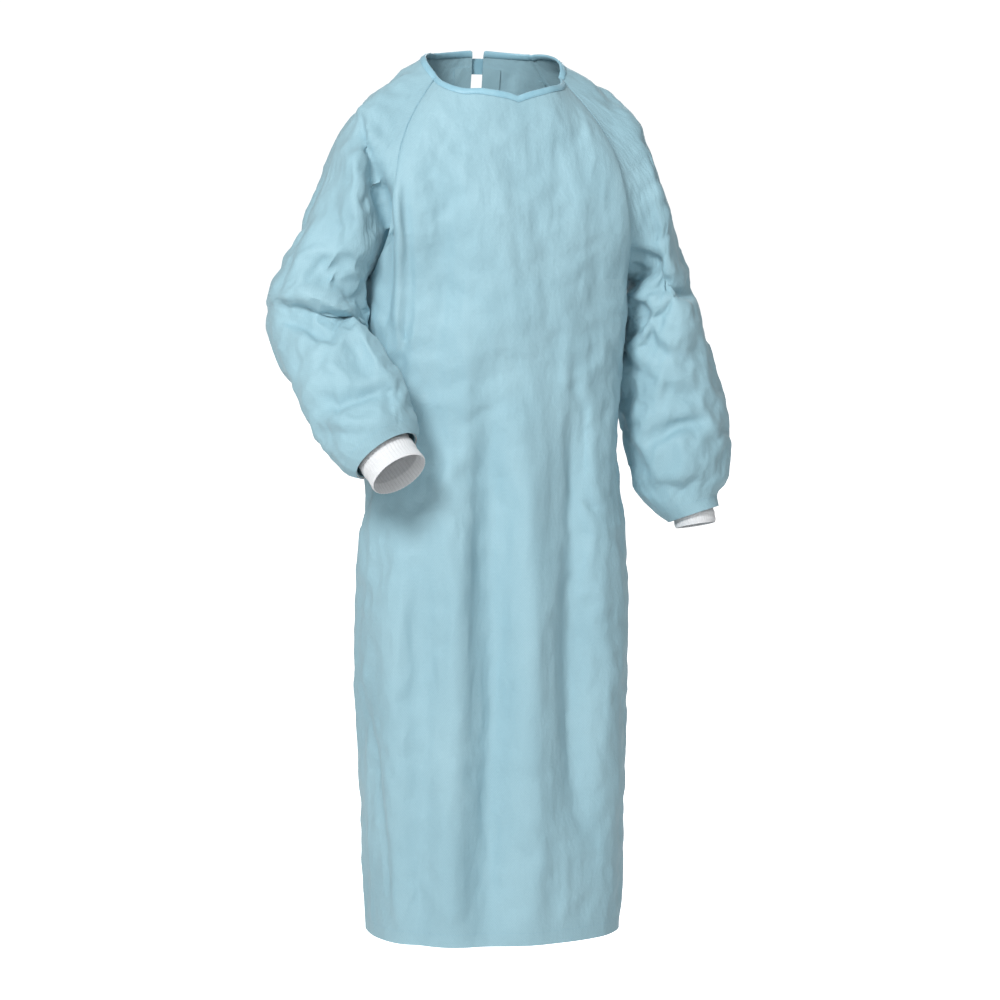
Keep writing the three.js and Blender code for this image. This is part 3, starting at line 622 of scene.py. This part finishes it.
def settle(points, faces, hold, growth):
    """Lets cloth that is cut a little too large buckle into its own crinkles, held near its shape."""
    made = object_from("settling_cloth", points, faces)
    set_group(made, "hold", hold)
    set_group(made, "taut", 1 - growth / growth.max())
    modifier = made.modifiers.new("cloth", "CLOTH")
    cloth = modifier.settings
    cloth.quality = 5
    cloth.mass = 0.05
    cloth.air_damping = 2
    cloth.tension_stiffness = 40
    cloth.compression_stiffness = 40
    cloth.shear_stiffness = 20
    cloth.bending_stiffness = 0.05
    cloth.tension_damping = 10
    cloth.compression_damping = 10
    cloth.shear_damping = 10
    cloth.vertex_group_mass = "hold"
    cloth.pin_stiffness = 0.4
    # a point shrinks by shrink_min where the group is 0, and by shrink_max where it is 1
    cloth.vertex_group_shrink = "taut"
    cloth.shrink_min = -float(growth.max())
    cloth.shrink_max = 0
    cloth.effector_weights.gravity = 0
    modifier.collision_settings.use_collision = False
    scene = bpy.context.scene
    for step in range(1, SETTLE_FRAMES + 1):
        scene.frame_set(step)
    shown = made.evaluated_get(bpy.context.evaluated_depsgraph_get())
    settled = np.array([v.co for v in shown.data.vertices])
    scene.frame_set(1)
    bpy.data.objects.remove(made)
    return settled


def settle_gown():
    free = smooth(edge_distance() / 0.05)
    hold = 0.9 - 0.82 * free            # firm at the edges and seams, loose elsewhere
    growth = np.full(len(gown.points), BODY_SPARE)
    sleeves = gown_region("left_sleeve", "right_sleeve")
    growth[sleeves] = SLEEVE_SPARE
    growth = growth * (0.15 + 0.85 * free)
    wobble = np.array([noise.noise(Vector(p * 40)) for p in gown.points])
    normals = vertex_normals(gown.points, gown.all_quads())
    start = gown.points + normals * (wobble * free * 0.0015)[:, None]
    settled = settle(start, gown.all_quads(), hold, growth)
    moves = settled - gown.points
    far = np.linalg.norm(moves, axis=1, keepdims=True)
    reach = np.where(sleeves, SLEEVE_REACH, BODY_REACH)[:, None]
    gown.points = gown.points + moves * np.minimum(1, reach / np.maximum(far, 1e-9))


settle_gown()

folded_points = gown.points
gown.points = flat_points
FLAT = gown.finer().points          # the finer mesh before any fold
gown.points = folded_points
gown = gown.finer()
press_folds(BODY_CREASES, RIGHT_CREASES, LEFT_CREASES, ARMPIT_CREASES)


def crumple_gown():
    free = 0.12 + 0.88 * smooth(edge_distance() / 0.045)
    sleeves = gown_region("left_sleeve", "right_sleeve")
    body = crumple(gown.points, [(0.075, 0.400, 0.0036), (0.034, 0.150, 0.0020), (0.016, 0.045, 0.0008)])
    arms = crumple(gown.points, [(0.110, 0.120, 0.0036), (0.048, 0.056, 0.0024), (0.020, 0.026, 0.0010)])
    normals = vertex_normals(gown.points, gown.all_quads())
    gown.points += normals * (np.where(sleeves, arms, body) * free)[:, None]


SEAM_DEPTH = 0.0018
NECK_DIP_AT, NECK_DIP = 0.012, 0.0050


def sink_seams():
    """Draws the cloth in along the raglan seams, where the sleeves are sewn on."""
    normals = vertex_normals(gown.points, gown.all_quads())
    body = gown_region("front_upper", "front_lower", "left_gusset", "right_gusset", "left_back_upper",
                       "right_back_upper")
    for side in ("left", "right"):
        ring = np.zeros(len(gown.points), bool)
        ring[gown.grid[f"{side}_sleeve"][0]] = True
        sewn = ring & body
        gown.points[sewn] -= normals[sewn] * SEAM_DEPTH


def shape_neckline():
    """Gives the front of the neck edge its slight V, a little to the left of the middle."""
    x, y, z = gown.points.T
    beside = np.abs(x - NECK_DIP_AT)
    near = smooth((0.075 - beside) / 0.03) * smooth((z + 0.105) / 0.05) * smooth(-y / 0.03)
    lift = NECK_DIP * (1 - 2 * np.exp(-beside / 0.022))
    gown.points[:, 2] += lift * near * gown_region("front_upper")


crumple_gown()
sink_seams()
shape_neckline()
MOVES = gown.points - FLAT
NEAR = kdtree.KDTree(len(FLAT))
for index, place in enumerate(FLAT):
    NEAR.insert(place, index)
NEAR.balance()
NORMALS = vertex_normals(gown.points, gown.all_quads())


# ---- Materials ----

class Paint:
    """A node material built up from helpers; distances in its noises are in metres of cloth."""

    def __init__(self, name, roughness):
        self.material = bpy.data.materials.new(name)
        self.material.use_nodes = True
        self.tree = self.material.node_tree
        self.shader = self.tree.nodes["Principled BSDF"]
        self.shader.inputs["Roughness"].default_value = roughness
        self.where = self.tree.nodes.new("ShaderNodeUVMap").outputs["UV"]
        self.bump = None

    def node(self, kind, **inputs):
        made = self.tree.nodes.new(kind)
        for name, value in inputs.items():
            self.feed(made.inputs[name.replace("_", " ")], value)
        return made

    def feed(self, socket, value):
        if isinstance(value, bpy.types.NodeSocket):
            self.tree.links.new(value, socket)
        else:
            socket.default_value = value

    def stretched(self, x, y):
        return self.node("ShaderNodeMapping", Vector=self.where, Scale=(x, y, 1)).outputs["Vector"]

    def noise(self, scale, detail=3.0, stretch=(1, 1), kind="FBM", roughness=0.5):
        made = self.node("ShaderNodeTexNoise", Vector=self.stretched(*stretch), Scale=scale, Detail=detail,
                         Roughness=roughness)
        made.noise_type = kind
        return made.outputs["Fac"]

    def math(self, operation, a, b=0.0):
        made = self.tree.nodes.new("ShaderNodeMath")
        made.operation = operation
        self.feed(made.inputs[0], a)
        self.feed(made.inputs[1], b)
        return made.outputs[0]

    def spread(self, value, low, high, to_low=0.0, to_high=1.0):
        made = self.tree.nodes.new("ShaderNodeMapRange")
        for i, v in enumerate((value, low, high, to_low, to_high)):
            self.feed(made.inputs[i], v)
        return made.outputs[0]

    def blend(self, share, a, b):
        made = self.tree.nodes.new("ShaderNodeMix")
        made.data_type = "RGBA"
        self.feed(made.inputs[0], share)
        self.feed(made.inputs[6], (*a, 1) if isinstance(a, tuple) else a)
        self.feed(made.inputs[7], (*b, 1) if isinstance(b, tuple) else b)
        return made.outputs[2]

    def color(self, value):
        self.feed(self.shader.inputs["Base Color"], (*value, 1) if isinstance(value, tuple) else value)

    def raise_by(self, height, distance, strength=1.0):
        made = self.node("ShaderNodeBump", Height=height, Distance=distance, Strength=strength)
        if self.bump:
            self.feed(made.inputs["Normal"], self.bump)
        self.bump = made.outputs["Normal"]
        self.feed(self.shader.inputs["Normal"], self.bump)

    def dots(self, pitch):
        """A lattice of round marks: 1 in their middles, 0 between them."""
        split = self.node("ShaderNodeSeparateXYZ", Vector=self.where)
        rate = 2 * math.pi / pitch
        waves = [self.math("SINE", self.math("MULTIPLY", split.outputs[i], rate)) for i in (0, 1)]
        return self.spread(self.math("MULTIPLY", waves[0], waves[1]), 0.25, 0.85)

    def ribs(self, pitch, axis=0):
        split = self.node("ShaderNodeSeparateXYZ", Vector=self.where)
        wave = self.math("SINE", self.math("MULTIPLY", split.outputs[axis], 2 * math.pi / pitch))
        return self.spread(wave, -1, 1)

    def soft(self, sheen, specular=0.3, tint=(1, 1, 1)):
        self.shader.inputs["Sheen Weight"].default_value = sheen
        self.shader.inputs["Sheen Roughness"].default_value = 0.45
        self.shader.inputs["Sheen Tint"].default_value = (*tint, 1)
        self.shader.inputs["Specular IOR Level"].default_value = specular


def nonwoven(name, light, dark, crinkle=1.0):
    paint = Paint(name, 0.62)
    cloudy = paint.spread(paint.noise(9, 4, (1, 0.6)), 0.3, 0.7)
    fibres = paint.spread(paint.noise(1500, 3, (1, 0.22)), 0.3, 0.7)
    marks = paint.dots(0.0034)
    tone = paint.math("ADD", paint.math("MULTIPLY", cloudy, 0.55), paint.math("MULTIPLY", fibres, 0.45))
    base = paint.blend(tone, light, dark)
    # Painted shade: the cloth is coloured darker in the bond points' dimples, the same marks that the bump
    # below presses in.
    shade = tuple(v * 0.86 for v in dark)
    paint.color(paint.blend(paint.math("MULTIPLY", marks, 0.35), base, shade))
    worn = paint.spread(paint.noise(26, 5, (1, 0.5)), 0.35, 0.7, 0.54, 0.72)
    paint.feed(paint.shader.inputs["Roughness"], worn)
    creases = paint.noise(34, 3, (1.4, 0.45), "RIDGED_MULTIFRACTAL", 0.45)
    paint.raise_by(creases, 0.0022 * crinkle, 0.9)
    small = paint.noise(110, 4, (1.2, 0.8), "FBM", 0.55)
    paint.raise_by(small, 0.0012 * crinkle, 0.8)
    paint.raise_by(fibres, 0.00012, 0.6)
    paint.raise_by(paint.math("SUBTRACT", 1.0, marks), 0.00012, 0.5)
    paint.soft(0.16, 0.32, (0.85, 0.97, 1.0))
    return paint.material


def woven_binding(name, light, dark):
    paint = Paint(name, 0.42)
    twill = paint.math("MULTIPLY", paint.ribs(0.0011, 0), paint.ribs(0.0009, 1))
    cloudy = paint.spread(paint.noise(60, 4), 0.3, 0.7)
    paint.color(paint.blend(cloudy, light, dark))
    paint.raise_by(twill, 0.00008, 0.6)
    paint.raise_by(paint.noise(90, 3), 0.0006, 0.5)
    paint.feed(paint.shader.inputs["Roughness"], paint.spread(cloudy, 0, 1, 0.36, 0.5))
    paint.soft(0.1, 0.42)
    return paint.material


def ribbed_knit(name, light, dark):
    paint = Paint(name, 0.8)
    rows = paint.ribs(0.0013, 1)
    columns = paint.ribs(0.0021, 0)
    fuzz = paint.spread(paint.noise(1900, 3), 0.3, 0.7)
    loops = paint.math("MULTIPLY", rows, columns)
    tone = paint.math("ADD", paint.math("MULTIPLY", loops, 0.6), paint.math("MULTIPLY", fuzz, 0.4))
    # Painted shade: the knit is coloured dark in the hollows between its ribs and light on their tops, from
    # the same loops and fuzz that raise the bump below.
    paint.color(paint.blend(tone, dark, light))
    paint.raise_by(loops, 0.00035, 0.8)
    paint.raise_by(fuzz, 0.0001, 0.6)
    paint.soft(0.25, 0.2)
    return paint.material


def pile(name, light, dark, pitch, height):
    """Hook or loop tape: rows of stiff hooks, or a tangle of loops."""
    paint = Paint(name, 0.7)
    rows = paint.math("MULTIPLY", paint.ribs(pitch, 0), paint.ribs(pitch, 1))
    tangle = paint.spread(paint.noise(1400, 3), 0.3, 0.7)
    tone = paint.math("ADD", paint.math("MULTIPLY", rows, 0.5), paint.math("MULTIPLY", tangle, 0.5))
    # Painted shade: the tape is coloured dark in its low places and light on the tops of its hooks and
    # loops, from the same tone that raises them in the bump below.
    paint.color(paint.blend(tone, dark, light))
    paint.raise_by(tone, height, 1.0)
    paint.soft(0.1, 0.35)
    return paint.material


def thread_paint(name, light, dark):
    paint = Paint(name, 0.5)
    twist = paint.spread(paint.noise(2500, 2, (1, 0.2)), 0.35, 0.65)
    paint.color(paint.blend(twist, light, dark))
    paint.raise_by(twist, 0.00008, 0.8)
    paint.soft(0.2, 0.35)
    return paint.material


CLOTH_PAINT = nonwoven("cloth_paint", (0.335, 0.522, 0.592), (0.250, 0.424, 0.495))
TRIM_PAINT = nonwoven("trim_paint", (0.320, 0.505, 0.570), (0.250, 0.420, 0.488), 0.5)
BINDING_PAINT = woven_binding("binding_paint", (0.285, 0.510, 0.610), (0.240, 0.455, 0.560))
# The knit and elastic paints' dark colours are painted shade in the hollows between their ribs.
KNIT_PAINT = ribbed_knit("knit_paint", (0.86, 0.87, 0.88), (0.66, 0.68, 0.70))
ELASTIC_PAINT = ribbed_knit("elastic_paint", (0.80, 0.80, 0.80), (0.60, 0.60, 0.60))
# The loop and hook paints' dark colours are painted shade in the low places of the pile.
LOOP_PAINT = pile("loop_paint", (0.78, 0.82, 0.84), (0.52, 0.58, 0.62), 0.0016, 0.0006)
HOOK_PAINT = pile("hook_paint", (0.74, 0.78, 0.80), (0.45, 0.52, 0.56), 0.0013, 0.0007)
THREAD_PAINT = thread_paint("thread_paint", (0.31, 0.55, 0.66), (0.17, 0.36, 0.46))


# ---- Pieces ----

def grid_uv(rows):
    """Each point's place on the cloth, in metres along its row and across the rows."""
    across = np.linalg.norm(np.diff(rows, axis=1), axis=-1)
    along = np.linalg.norm(np.diff(rows, axis=0), axis=-1)
    u = np.hstack([np.zeros((rows.shape[0], 1)), np.cumsum(across, axis=1)])
    u -= u[:, u.shape[1] // 2][:, None]
    v = np.append(0, np.cumsum(along.mean(axis=1)))[:, None]
    return np.stack([u, np.repeat(v, rows.shape[1], axis=1)], -1)


def make_object(name, points, faces, uv, paint, sharp=60):
    """uv is a place on the cloth for each face corner, as one array in the order of the faces."""
    mesh = bpy.data.meshes.new(name)
    mesh.from_pydata(points.tolist(), [], faces)
    layer = mesh.uv_layers.new(name="cloth")
    layer.data.foreach_set("uv", np.asarray(uv, np.float32).reshape(-1))
    mesh.shade_smooth()
    mesh.set_sharp_from_angle(angle=math.radians(sharp))
    mesh.materials.append(paint)
    piece = placed(name, mesh)
    return piece


def thick_piece(name, points, normals, grids, top, thickness, paint):
    """A closed piece of index grids, each with a sign: its outside lies top above the surface."""
    quads, places = [], []
    for g, sign in grids:
        uv = grid_uv(points[g])
        for values, out in ((g, quads), (uv, places)):
            corner = [values[:-1, :-1], values[:-1, 1:], values[1:, 1:], values[1:, :-1]]
            corner = np.stack(corner if sign > 0 else corner[::-1], 2)
            out.append(corner.reshape(-1, 4, *values.shape[2:]))
    quads, places = np.vstack(quads), np.vstack(places)
    used, flat = np.unique(quads, return_inverse=True)
    flat = flat.reshape(quads.shape)
    count = len(used)
    outer = points[used] + normals[used] * top
    inner = points[used] + normals[used] * (top - thickness)
    faces, uv, sides = [], [], {}
    for face, place in zip(flat.tolist(), places.tolist()):
        kept = [i for i in range(4) if face[i] != face[i - 1]]
        face, place = [face[i] for i in kept], [place[i] for i in kept]
        faces.append(face)
        uv += place
        for i in range(len(face)):
            sides[face[i - 1], face[i]] = (place[i - 1], place[i])
    for face, place in zip(flat.tolist(), places.tolist()):
        kept = [i for i in range(4) if face[i] != face[i - 1]][::-1]
        faces.append([face[i] + count for i in kept])
        uv += [place[i] for i in kept]
    for (a, b), (at_a, at_b) in sides.items():
        if (b, a) not in sides:
            faces.append([b, a, a + count, b + count])
            uv += [at_b, at_a, at_a, at_b]
    return make_object(name, np.vstack([outer, inner]), faces, uv, paint)


def panel(name, *grids):
    listed = [(gown.grid[g], gown.sign[g]) for g in grids]
    return thick_piece(name, gown.points, NORMALS, listed, 0, CLOTH, CLOTH_PAINT)


def strip(name, g, sign, top, thickness, paint):
    return thick_piece(name, gown.points, NORMALS, [(g, sign)], top, thickness, paint)


def swept(name, rings, paint, closed=False):
    """A closed piece through rings of points; its ends are capped unless it joins itself."""
    count, size = rings.shape[:2]
    looped = np.concatenate([rings, rings[:, :1]], axis=1)
    uv = grid_uv(looped)
    faces, places = [], []
    last = count if closed else count - 1
    for i in range(last):
        j = (i + 1) % count
        for k in range(size):
            m = (k + 1) % size
            faces.append([i * size + k, i * size + m, j * size + m, j * size + k])
            places += [uv[i, k], uv[i, k + 1], uv[j, k + 1], uv[j, k]]
    if not closed:
        faces.append(list(range(size))[::-1])
        places += [uv[0, k] for k in range(size)][::-1]
        faces.append([(count - 1) * size + k for k in range(size)])
        places += [uv[-1, k] for k in range(size)]
    return make_object(name, rings.reshape(-1, 3), faces, np.array(places), paint)


def nearest_moves(points):
    """How far the folds moved the cloth nearest each point."""
    moves = np.zeros((len(points), 3))
    for i, p in enumerate(points):
        found = NEAR.find_n(Vector(p), 4)
        weights = np.array([1 / (d + 1e-4) ** 2 for _, _, d in found])
        indices = [index for _, index, _ in found]
        moves[i] = (MOVES[indices] * weights[:, None]).sum(axis=0) / weights.sum()
    return moves


def follower(name, nodes, paint, step=0.006, ripple=0.0):
    """A fine piece over the same space as its plain solids, moved with the cloth that it is sewn to."""
    mesh = bpy.data.meshes.new(name)
    build = bmesh.new()
    for node in nodes:
        build.from_mesh(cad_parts[node].data)
    bmesh.ops.remove_doubles(build, verts=build.verts, dist=1e-6)
    bmesh.ops.join_triangles(build, faces=build.faces, angle_face_threshold=0.35, angle_shape_threshold=0.7)
    for _ in range(5):
        long = [e for e in build.edges if e.calc_length() > step]
        if not long:
            break
        bmesh.ops.subdivide_edges(build, edges=long, cuts=1, use_grid_fill=True)
    build.to_mesh(mesh)
    build.free()
    points = np.array([v.co for v in mesh.vertices])
    moved = points + nearest_moves(points)
    if ripple:
        waves = np.array([noise.noise(Vector(p * 55)) for p in points])
        facing = np.array([v.normal for v in mesh.vertices])
        sense = np.where(facing[:, 1] > 0, 1, -1)[:, None]
        moved += facing * sense * (waves * ripple)[:, None]
    mesh.vertices.foreach_set("co", moved.astype(np.float32).reshape(-1))
    layer = mesh.uv_layers.new(name="cloth")
    for loop in mesh.loops:
        p = points[loop.vertex_index]
        layer.data[loop.index].uv = (p[0] + p[1] * 0.7, p[2])
    mesh.shade_smooth()
    mesh.set_sharp_from_angle(angle=math.radians(50))
    mesh.materials.clear()
    mesh.materials.append(paint)
    piece = placed(name, mesh)
    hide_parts(*nodes)
    return piece


def stitches(name, lines, paint, length=0.0024, gap=0.0011, girth=0.00028):
    """Rows of thread along lines of (points, normals): each stitch a slim bead lying on the cloth."""
    points, faces, uv = [], [], []
    for line, facing in lines:
        steps = np.linalg.norm(np.diff(line, axis=0), axis=1)
        travelled = np.append(0, np.cumsum(steps))
        for start in np.arange(gap, travelled[-1] - length, length + gap):
            ends = [np.array([np.interp(at, travelled, line[:, k]) for k in range(3)])
                    for at in (start, start + length)]
            n = unit(np.array([np.interp(start, travelled, facing[:, k]) for k in range(3)]))
            way = unit(ends[1] - ends[0])
            side = np.cross(n, way)
            middle = (ends[0] + ends[1]) / 2
            base = len(points)
            points += [ends[0] - n * girth * 0.5, ends[1] - n * girth * 0.5]
            points += [middle + side * girth, middle + n * girth, middle - side * girth, middle - n * girth]
            for k in range(4):
                a, b = base + 2 + k, base + 2 + (k + 1) % 4
                faces += [[base, b, a], [base + 1, a, b]]
                uv += [(0, start), (girth, start), (girth * 2, start)] * 2
    return make_object(name, np.array(points), faces, np.array(uv), paint, 80)


def band_line(g, at, across=False):
    """A line along a grid at a fractional row (or column, where across is true), lifted off the cloth."""
    g = g.T if across else g
    low = int(at)
    share = at - low
    high = min(low + 1, g.shape[0] - 1)
    line = gown.points[g[low]] * (1 - share) + gown.points[g[high]] * share
    facing = unit(NORMALS[g[low]] * (1 - share) + NORMALS[g[high]] * share)
    return line + facing * 0.0002, facing


GRID = gown.grid
HEM_ROWS = 5                 # rows of the grid in a hem's fold
HEM_STITCHES = 3.6           # where the stitches run, counted in those rows
SEAM_STITCHES = 1.2          # columns from the raglan seam
FACING_STITCHES = 3.4        # columns from the back edge


def hem_fold(name, grid, body, node):
    """The hem's turned-up layer, just inside the cloth of a grid's lowest rows."""
    made = strip(name, GRID[grid][:HEM_ROWS], gown.sign[grid], -CLOTH - 0.0003, 0.0011, TRIM_PAINT)
    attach(made, body)
    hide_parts(node)
    return made


def build_front():
    front = panel("front_cloth", "front_upper", "front_lower", "left_gusset", "right_gusset")
    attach(front, "torso")
    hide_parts("front_panel")
    hem = hem_fold("front_hem_fold", "front_lower", "torso", "front_hem")
    upper = GRID["front_upper"]
    rows = [band_line(GRID["front_lower"], HEM_STITCHES)]
    for column in (upper.shape[1] - 1 - SEAM_STITCHES, SEAM_STITCHES):
        rows.append(band_line(upper, column, True))
    thread = stitches("front_stitches", rows, THREAD_PAINT)
    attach(thread, "torso")
    return front, [hem, thread]


def build_back(side):
    """One back panel with its hem, facing, stitches, tie patch and tie."""
    back = panel(f"{side}_back_cloth", f"{side}_back_upper", f"{side}_back_lower")
    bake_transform(back)
    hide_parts(f"{side}_back_panel_upper", f"{side}_back_panel_lower")
    low = GRID[f"{side}_back_lower"]
    hem = hem_fold(f"{side}_back_hem_fold", f"{side}_back_lower", f"{side}_back", f"{side}_back_hem")
    nodes = [f"{side}_back_facing_upper", f"{side}_back_facing_lower"]
    facing = follower(f"{side}_back_facing", nodes, TRIM_PAINT)
    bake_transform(facing)
    both = np.vstack([low, GRID[f"{side}_back_upper"][1:]])
    edge_line = band_line(both, low.shape[1] - 1 - FACING_STITCHES, True)
    rows = [edge_line, band_line(low, HEM_STITCHES)]
    thread = stitches(f"{side}_back_stitches", rows, THREAD_PAINT)
    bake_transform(thread)

    patch = follower(f"{side}_tie_patch", [f"{side}_waist_tie_patch"], TRIM_PAINT, 0.004)
    tie = follower(f"{side}_tie", [f"{side}_waist_tie"], BINDING_PAINT, 0.006, 0.0012)
    for piece in (patch, tie):
        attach(piece, f"{side}_back")
    return back, [hem, facing, thread, patch]


def build_arm(side):
    """One sleeve's cloth."""
    arm = panel(f"{side}_sleeve_cloth", f"{side}_sleeve")
    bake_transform(arm)
    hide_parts(f"{side}_sleeve_cap", f"{side}_sleeve_shoulder_fold", f"{side}_sleeve")
    return arm


def build_tapes(side):
    """The seam tapes of one side; those that come back lie on the front panel."""
    made = {}
    for name, node in (("raglan_seam_front", "raglan_tape_front"), ("raglan_seam_back", "raglan_tape_back"),
                       ("side_seam", "side_seam_tape")):
        made[name] = follower(f"{side}_{name}", [f"{side}_{node}"], TRIM_PAINT)
        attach(made[name], "torso")
    return [made["raglan_seam_front"], made["side_seam"]]


def build_sleeve_end(side):
    """The sleeve end's fold, elastic and stitches."""
    g = GRID[f"{side}_sleeve"]
    sign = gown.sign[f"{side}_sleeve"]
    fold_in = strip(f"{side}_sleeve_end_fold", g[-7:], sign, -CLOTH - 0.0022, 0.0008, TRIM_PAINT)
    elastic = strip(f"{side}_end_elastic", g[-5:], sign, -CLOTH - 0.0004, 0.001, ELASTIC_PAINT)
    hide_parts(f"{side}_sleeve_hem")
    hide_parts(f"{side}_cuff_elastic")
    rows = [band_line(g, g.shape[0] - 6.0)]
    thread = stitches(f"{side}_sleeve_stitches", rows, THREAD_PAINT)
    for piece in (fold_in, elastic, thread):
        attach(piece, f"{side}_sleeve")
    return [fold_in, elastic, thread]


front, torso_with = build_front()
for side in ("left", "right"):
    back, back_with = build_back(side)
    arm = build_arm(side)
    torso_with += build_tapes(side)
    arm_with = build_sleeve_end(side)


def neck_binding():
    """The binding folded over the whole neck edge, from one back edge to the other."""
    places = []
    upper = GRID["front_upper"]
    for side in ("right", "left"):
        back, arm = GRID[f"{side}_back_upper"], GRID[f"{side}_sleeve"]
        neck = slice(2 * ARM_CELLS, 2 * (ARM_CELLS + NECK_CELLS) + 1)
        run = list(zip(back[-1, ::-1], back[-3, ::-1]))
        run += list(zip(arm[0, neck][::-1], arm[2, neck][::-1]))[1:]
        if side == "right":
            places += run + list(zip(upper[-1], upper[-3]))[1:]
        else:
            places += run[::-1][1:]
    edge = np.array([p[0] for p in places])
    below = np.array([p[1] for p in places])
    at = gown.points[edge]
    normal = NORMALS[edge]
    for _ in range(3):
        normal[1:-1] = unit(normal[:-2] + 2 * normal[1:-1] + normal[2:])
    down = unit(gown.points[below] - at)
    for _ in range(6):
        down[1:-1] = unit(down[:-2] + 2 * down[1:-1] + down[2:])
    down = unit(down - normal * (down * normal).sum(axis=1)[:, None])
    # across the cloth, and down from the fold
    profile = [(0.0008, 0.0080), (0.0014, 0.0074), (0.0016, 0.0040), (0.0016, 0.0006), (0.0011, -0.0007),
               (0, -0.0012), (-0.0013, -0.0007), (-0.0020, 0.0006), (-0.0021, 0.0040), (-0.0019, 0.0074),
               (-0.0013, 0.0080), (-0.0008, 0.0076), (-0.0010, 0.0010), (-0.0002, 0.0004), (0.0004, 0.0010),
               (0.0005, 0.0076)]
    rings = np.array([[p + n * a + d * b for a, b in profile] for p, n, d in zip(at, normal, down)])
    binding = swept("neck_edge_binding", rings[::-1], BINDING_PAINT)
    row = at + normal * 0.0016 + down * 0.0062
    thread = stitches("neck_stitches", [(row, normal)], THREAD_PAINT)
    return binding, thread


binding, neck_thread = neck_binding()
for piece in (binding, neck_thread):
    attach(piece, "torso")
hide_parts("neck_binding")
torso_with += [neck_thread]
loop_pad = follower("loop_pad", ["neck_loop_pad"], LOOP_PAINT, 0.003)
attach(loop_pad, "torso")
hook_pad = follower("hook_pad", ["neck_hook_pad"], HOOK_PAINT, 0.003)
tab = follower("closing_tab", ["neck_tab"], BINDING_PAINT, 0.004)
for piece in (hook_pad, tab):
    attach(piece, "neck_tab")


def knit_cuff(side, elbow, wrist, wide, deep, inside, showing):
    stations = HANGING if side == "left" else BENT
    travel = unit(np.array(wrist) - np.array(elbow))
    tilt = unit(np.array(stations[-1][1], float))
    out = unit(tilt - travel * (tilt @ travel))
    middle = UNDERARM + np.array(stations[-1][0])
    count = 192
    angles = np.linspace(0, 2 * math.pi, count, endpoint=False)
    ribs = 0.00035 * np.cos(angles * 48)
    rows = []
    steps = np.linspace(-inside, showing, 25)
    for at in steps:
        sag = 0.0006 * math.sin(at * 260) + 0.0004 * math.sin(at * 610 + 1)
        rows.append((at, sag))
    rings = []
    ways = [(at, 0.0006 + sag) for at, sag in rows] + [(showing + 0.0008, 0.0001)]
    ways += [(at, -0.0007 + sag) for at, sag in rows[::-1]]
    for at, lift in ways:
        ring = ring_points(middle + travel * at, out, travel, wide + lift, deep + lift, angles)
        ahead = unit(ring - middle - travel * at)
        rings.append(ring + ahead * ribs[:, None])
    rings = np.array(rings)
    if side == "right":
        rings = mirror(rings)[:, ::-1]
    made = swept(f"{side}_rib_cuff", rings, KNIT_PAINT, closed=True)
    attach(made, f"{side}_sleeve")
    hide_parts(f"{side}_knit_cuff")


knit_cuff("left", (0.074, 0.015, -0.072), (0.100, -0.030, -0.316), 0.027, 0.033, 0.028, 0.015)
knit_cuff("right", (0.086, 0.025, -0.058), (-0.002, -0.165, -0.234), 0.038, 0.032, 0.030, 0.034)


# ---- Stage, light and camera ----

def camera_share(tree):
    """1 where the camera looks straight at a surface, 0 for the light that it throws on others."""
    return tree.nodes.new("ShaderNodeLightPath").outputs["Is Camera Ray"]


def build_stage():
    """A wide pale floor, below where the wearer's feet would be."""
    half, floor_z = 40, -1.57
    cells = np.linspace(-half, half, 9)
    points = [(x, y, floor_z) for y in cells for x in cells]
    faces = [(r * 9 + c, r * 9 + c + 1, r * 9 + c + 10, r * 9 + c + 9) for r in range(8) for c in range(8)]
    mesh = bpy.data.meshes.new("stage_floor")
    mesh.from_pydata(points, [], faces)
    mesh.uv_layers.new(name="cloth")
    floor = placed("stage_floor", mesh)
    paint = Paint("stage_paint", 0.9)
    paint.color((0.93, 0.93, 0.93))
    paint.shader.inputs["Emission Color"].default_value = (1, 1, 1, 1)
    glow = paint.math("MULTIPLY", camera_share(paint.tree), 1.0)
    paint.feed(paint.shader.inputs["Emission Strength"], glow)
    floor.data.materials.append(paint.material)


def add_light(name, place, target, size, power):
    data = bpy.data.lights.new(name, "AREA")
    data.size = size
    data.energy = power
    light = placed(name, data)
    light.location = place
    light.rotation_euler = (Vector(target) - Vector(place)).to_track_quat("-Z", "Y").to_euler()


def build_camera():
    """Looks from the gown's front right, from a little above its middle."""
    dip = math.radians(4.45)
    way = np.array([math.sin(TURN) * math.cos(dip), math.cos(TURN) * math.cos(dip), -math.sin(dip)])
    target = ACROSS * 0.011 + np.array([0, 0, -0.600])
    distance, view_width = 4.5, 1.370
    data = bpy.data.cameras.new("camera")
    data.lens = data.sensor_width * distance / view_width
    camera = placed("camera", data)
    camera.location = target - way * distance
    camera.rotation_euler = Vector(way).to_track_quat("-Z", "Y").to_euler()
    bpy.context.scene.camera = camera


bpy.context.scene.view_settings.view_transform = "Standard"
build_stage()
build_camera()
add_light("key", (-1.9, -2.4, 1.4), (0, 0, -0.55), 0.9, 104)
add_light("fill", (0.2, -4.4, 0.8), (0, 0, -0.6), 2.0, 30)
add_light("rear", (1.6, 4.0, 1.0), (0, 0, -0.6), 2.2, 75)
world = bpy.data.worlds.new("world")
bpy.context.scene.world = world
world.use_nodes = True
sky = world.node_tree.nodes["Background"]
sky.inputs["Color"].default_value = (1, 1, 1, 1)
strength = world.node_tree.nodes.new("ShaderNodeMapRange")
strength.inputs["To Min"].default_value = 0.36
strength.inputs["To Max"].default_value = 1.05
world.node_tree.links.new(camera_share(world.node_tree), strength.inputs["Value"])
world.node_tree.links.new(strength.outputs["Result"], sky.inputs["Strength"])
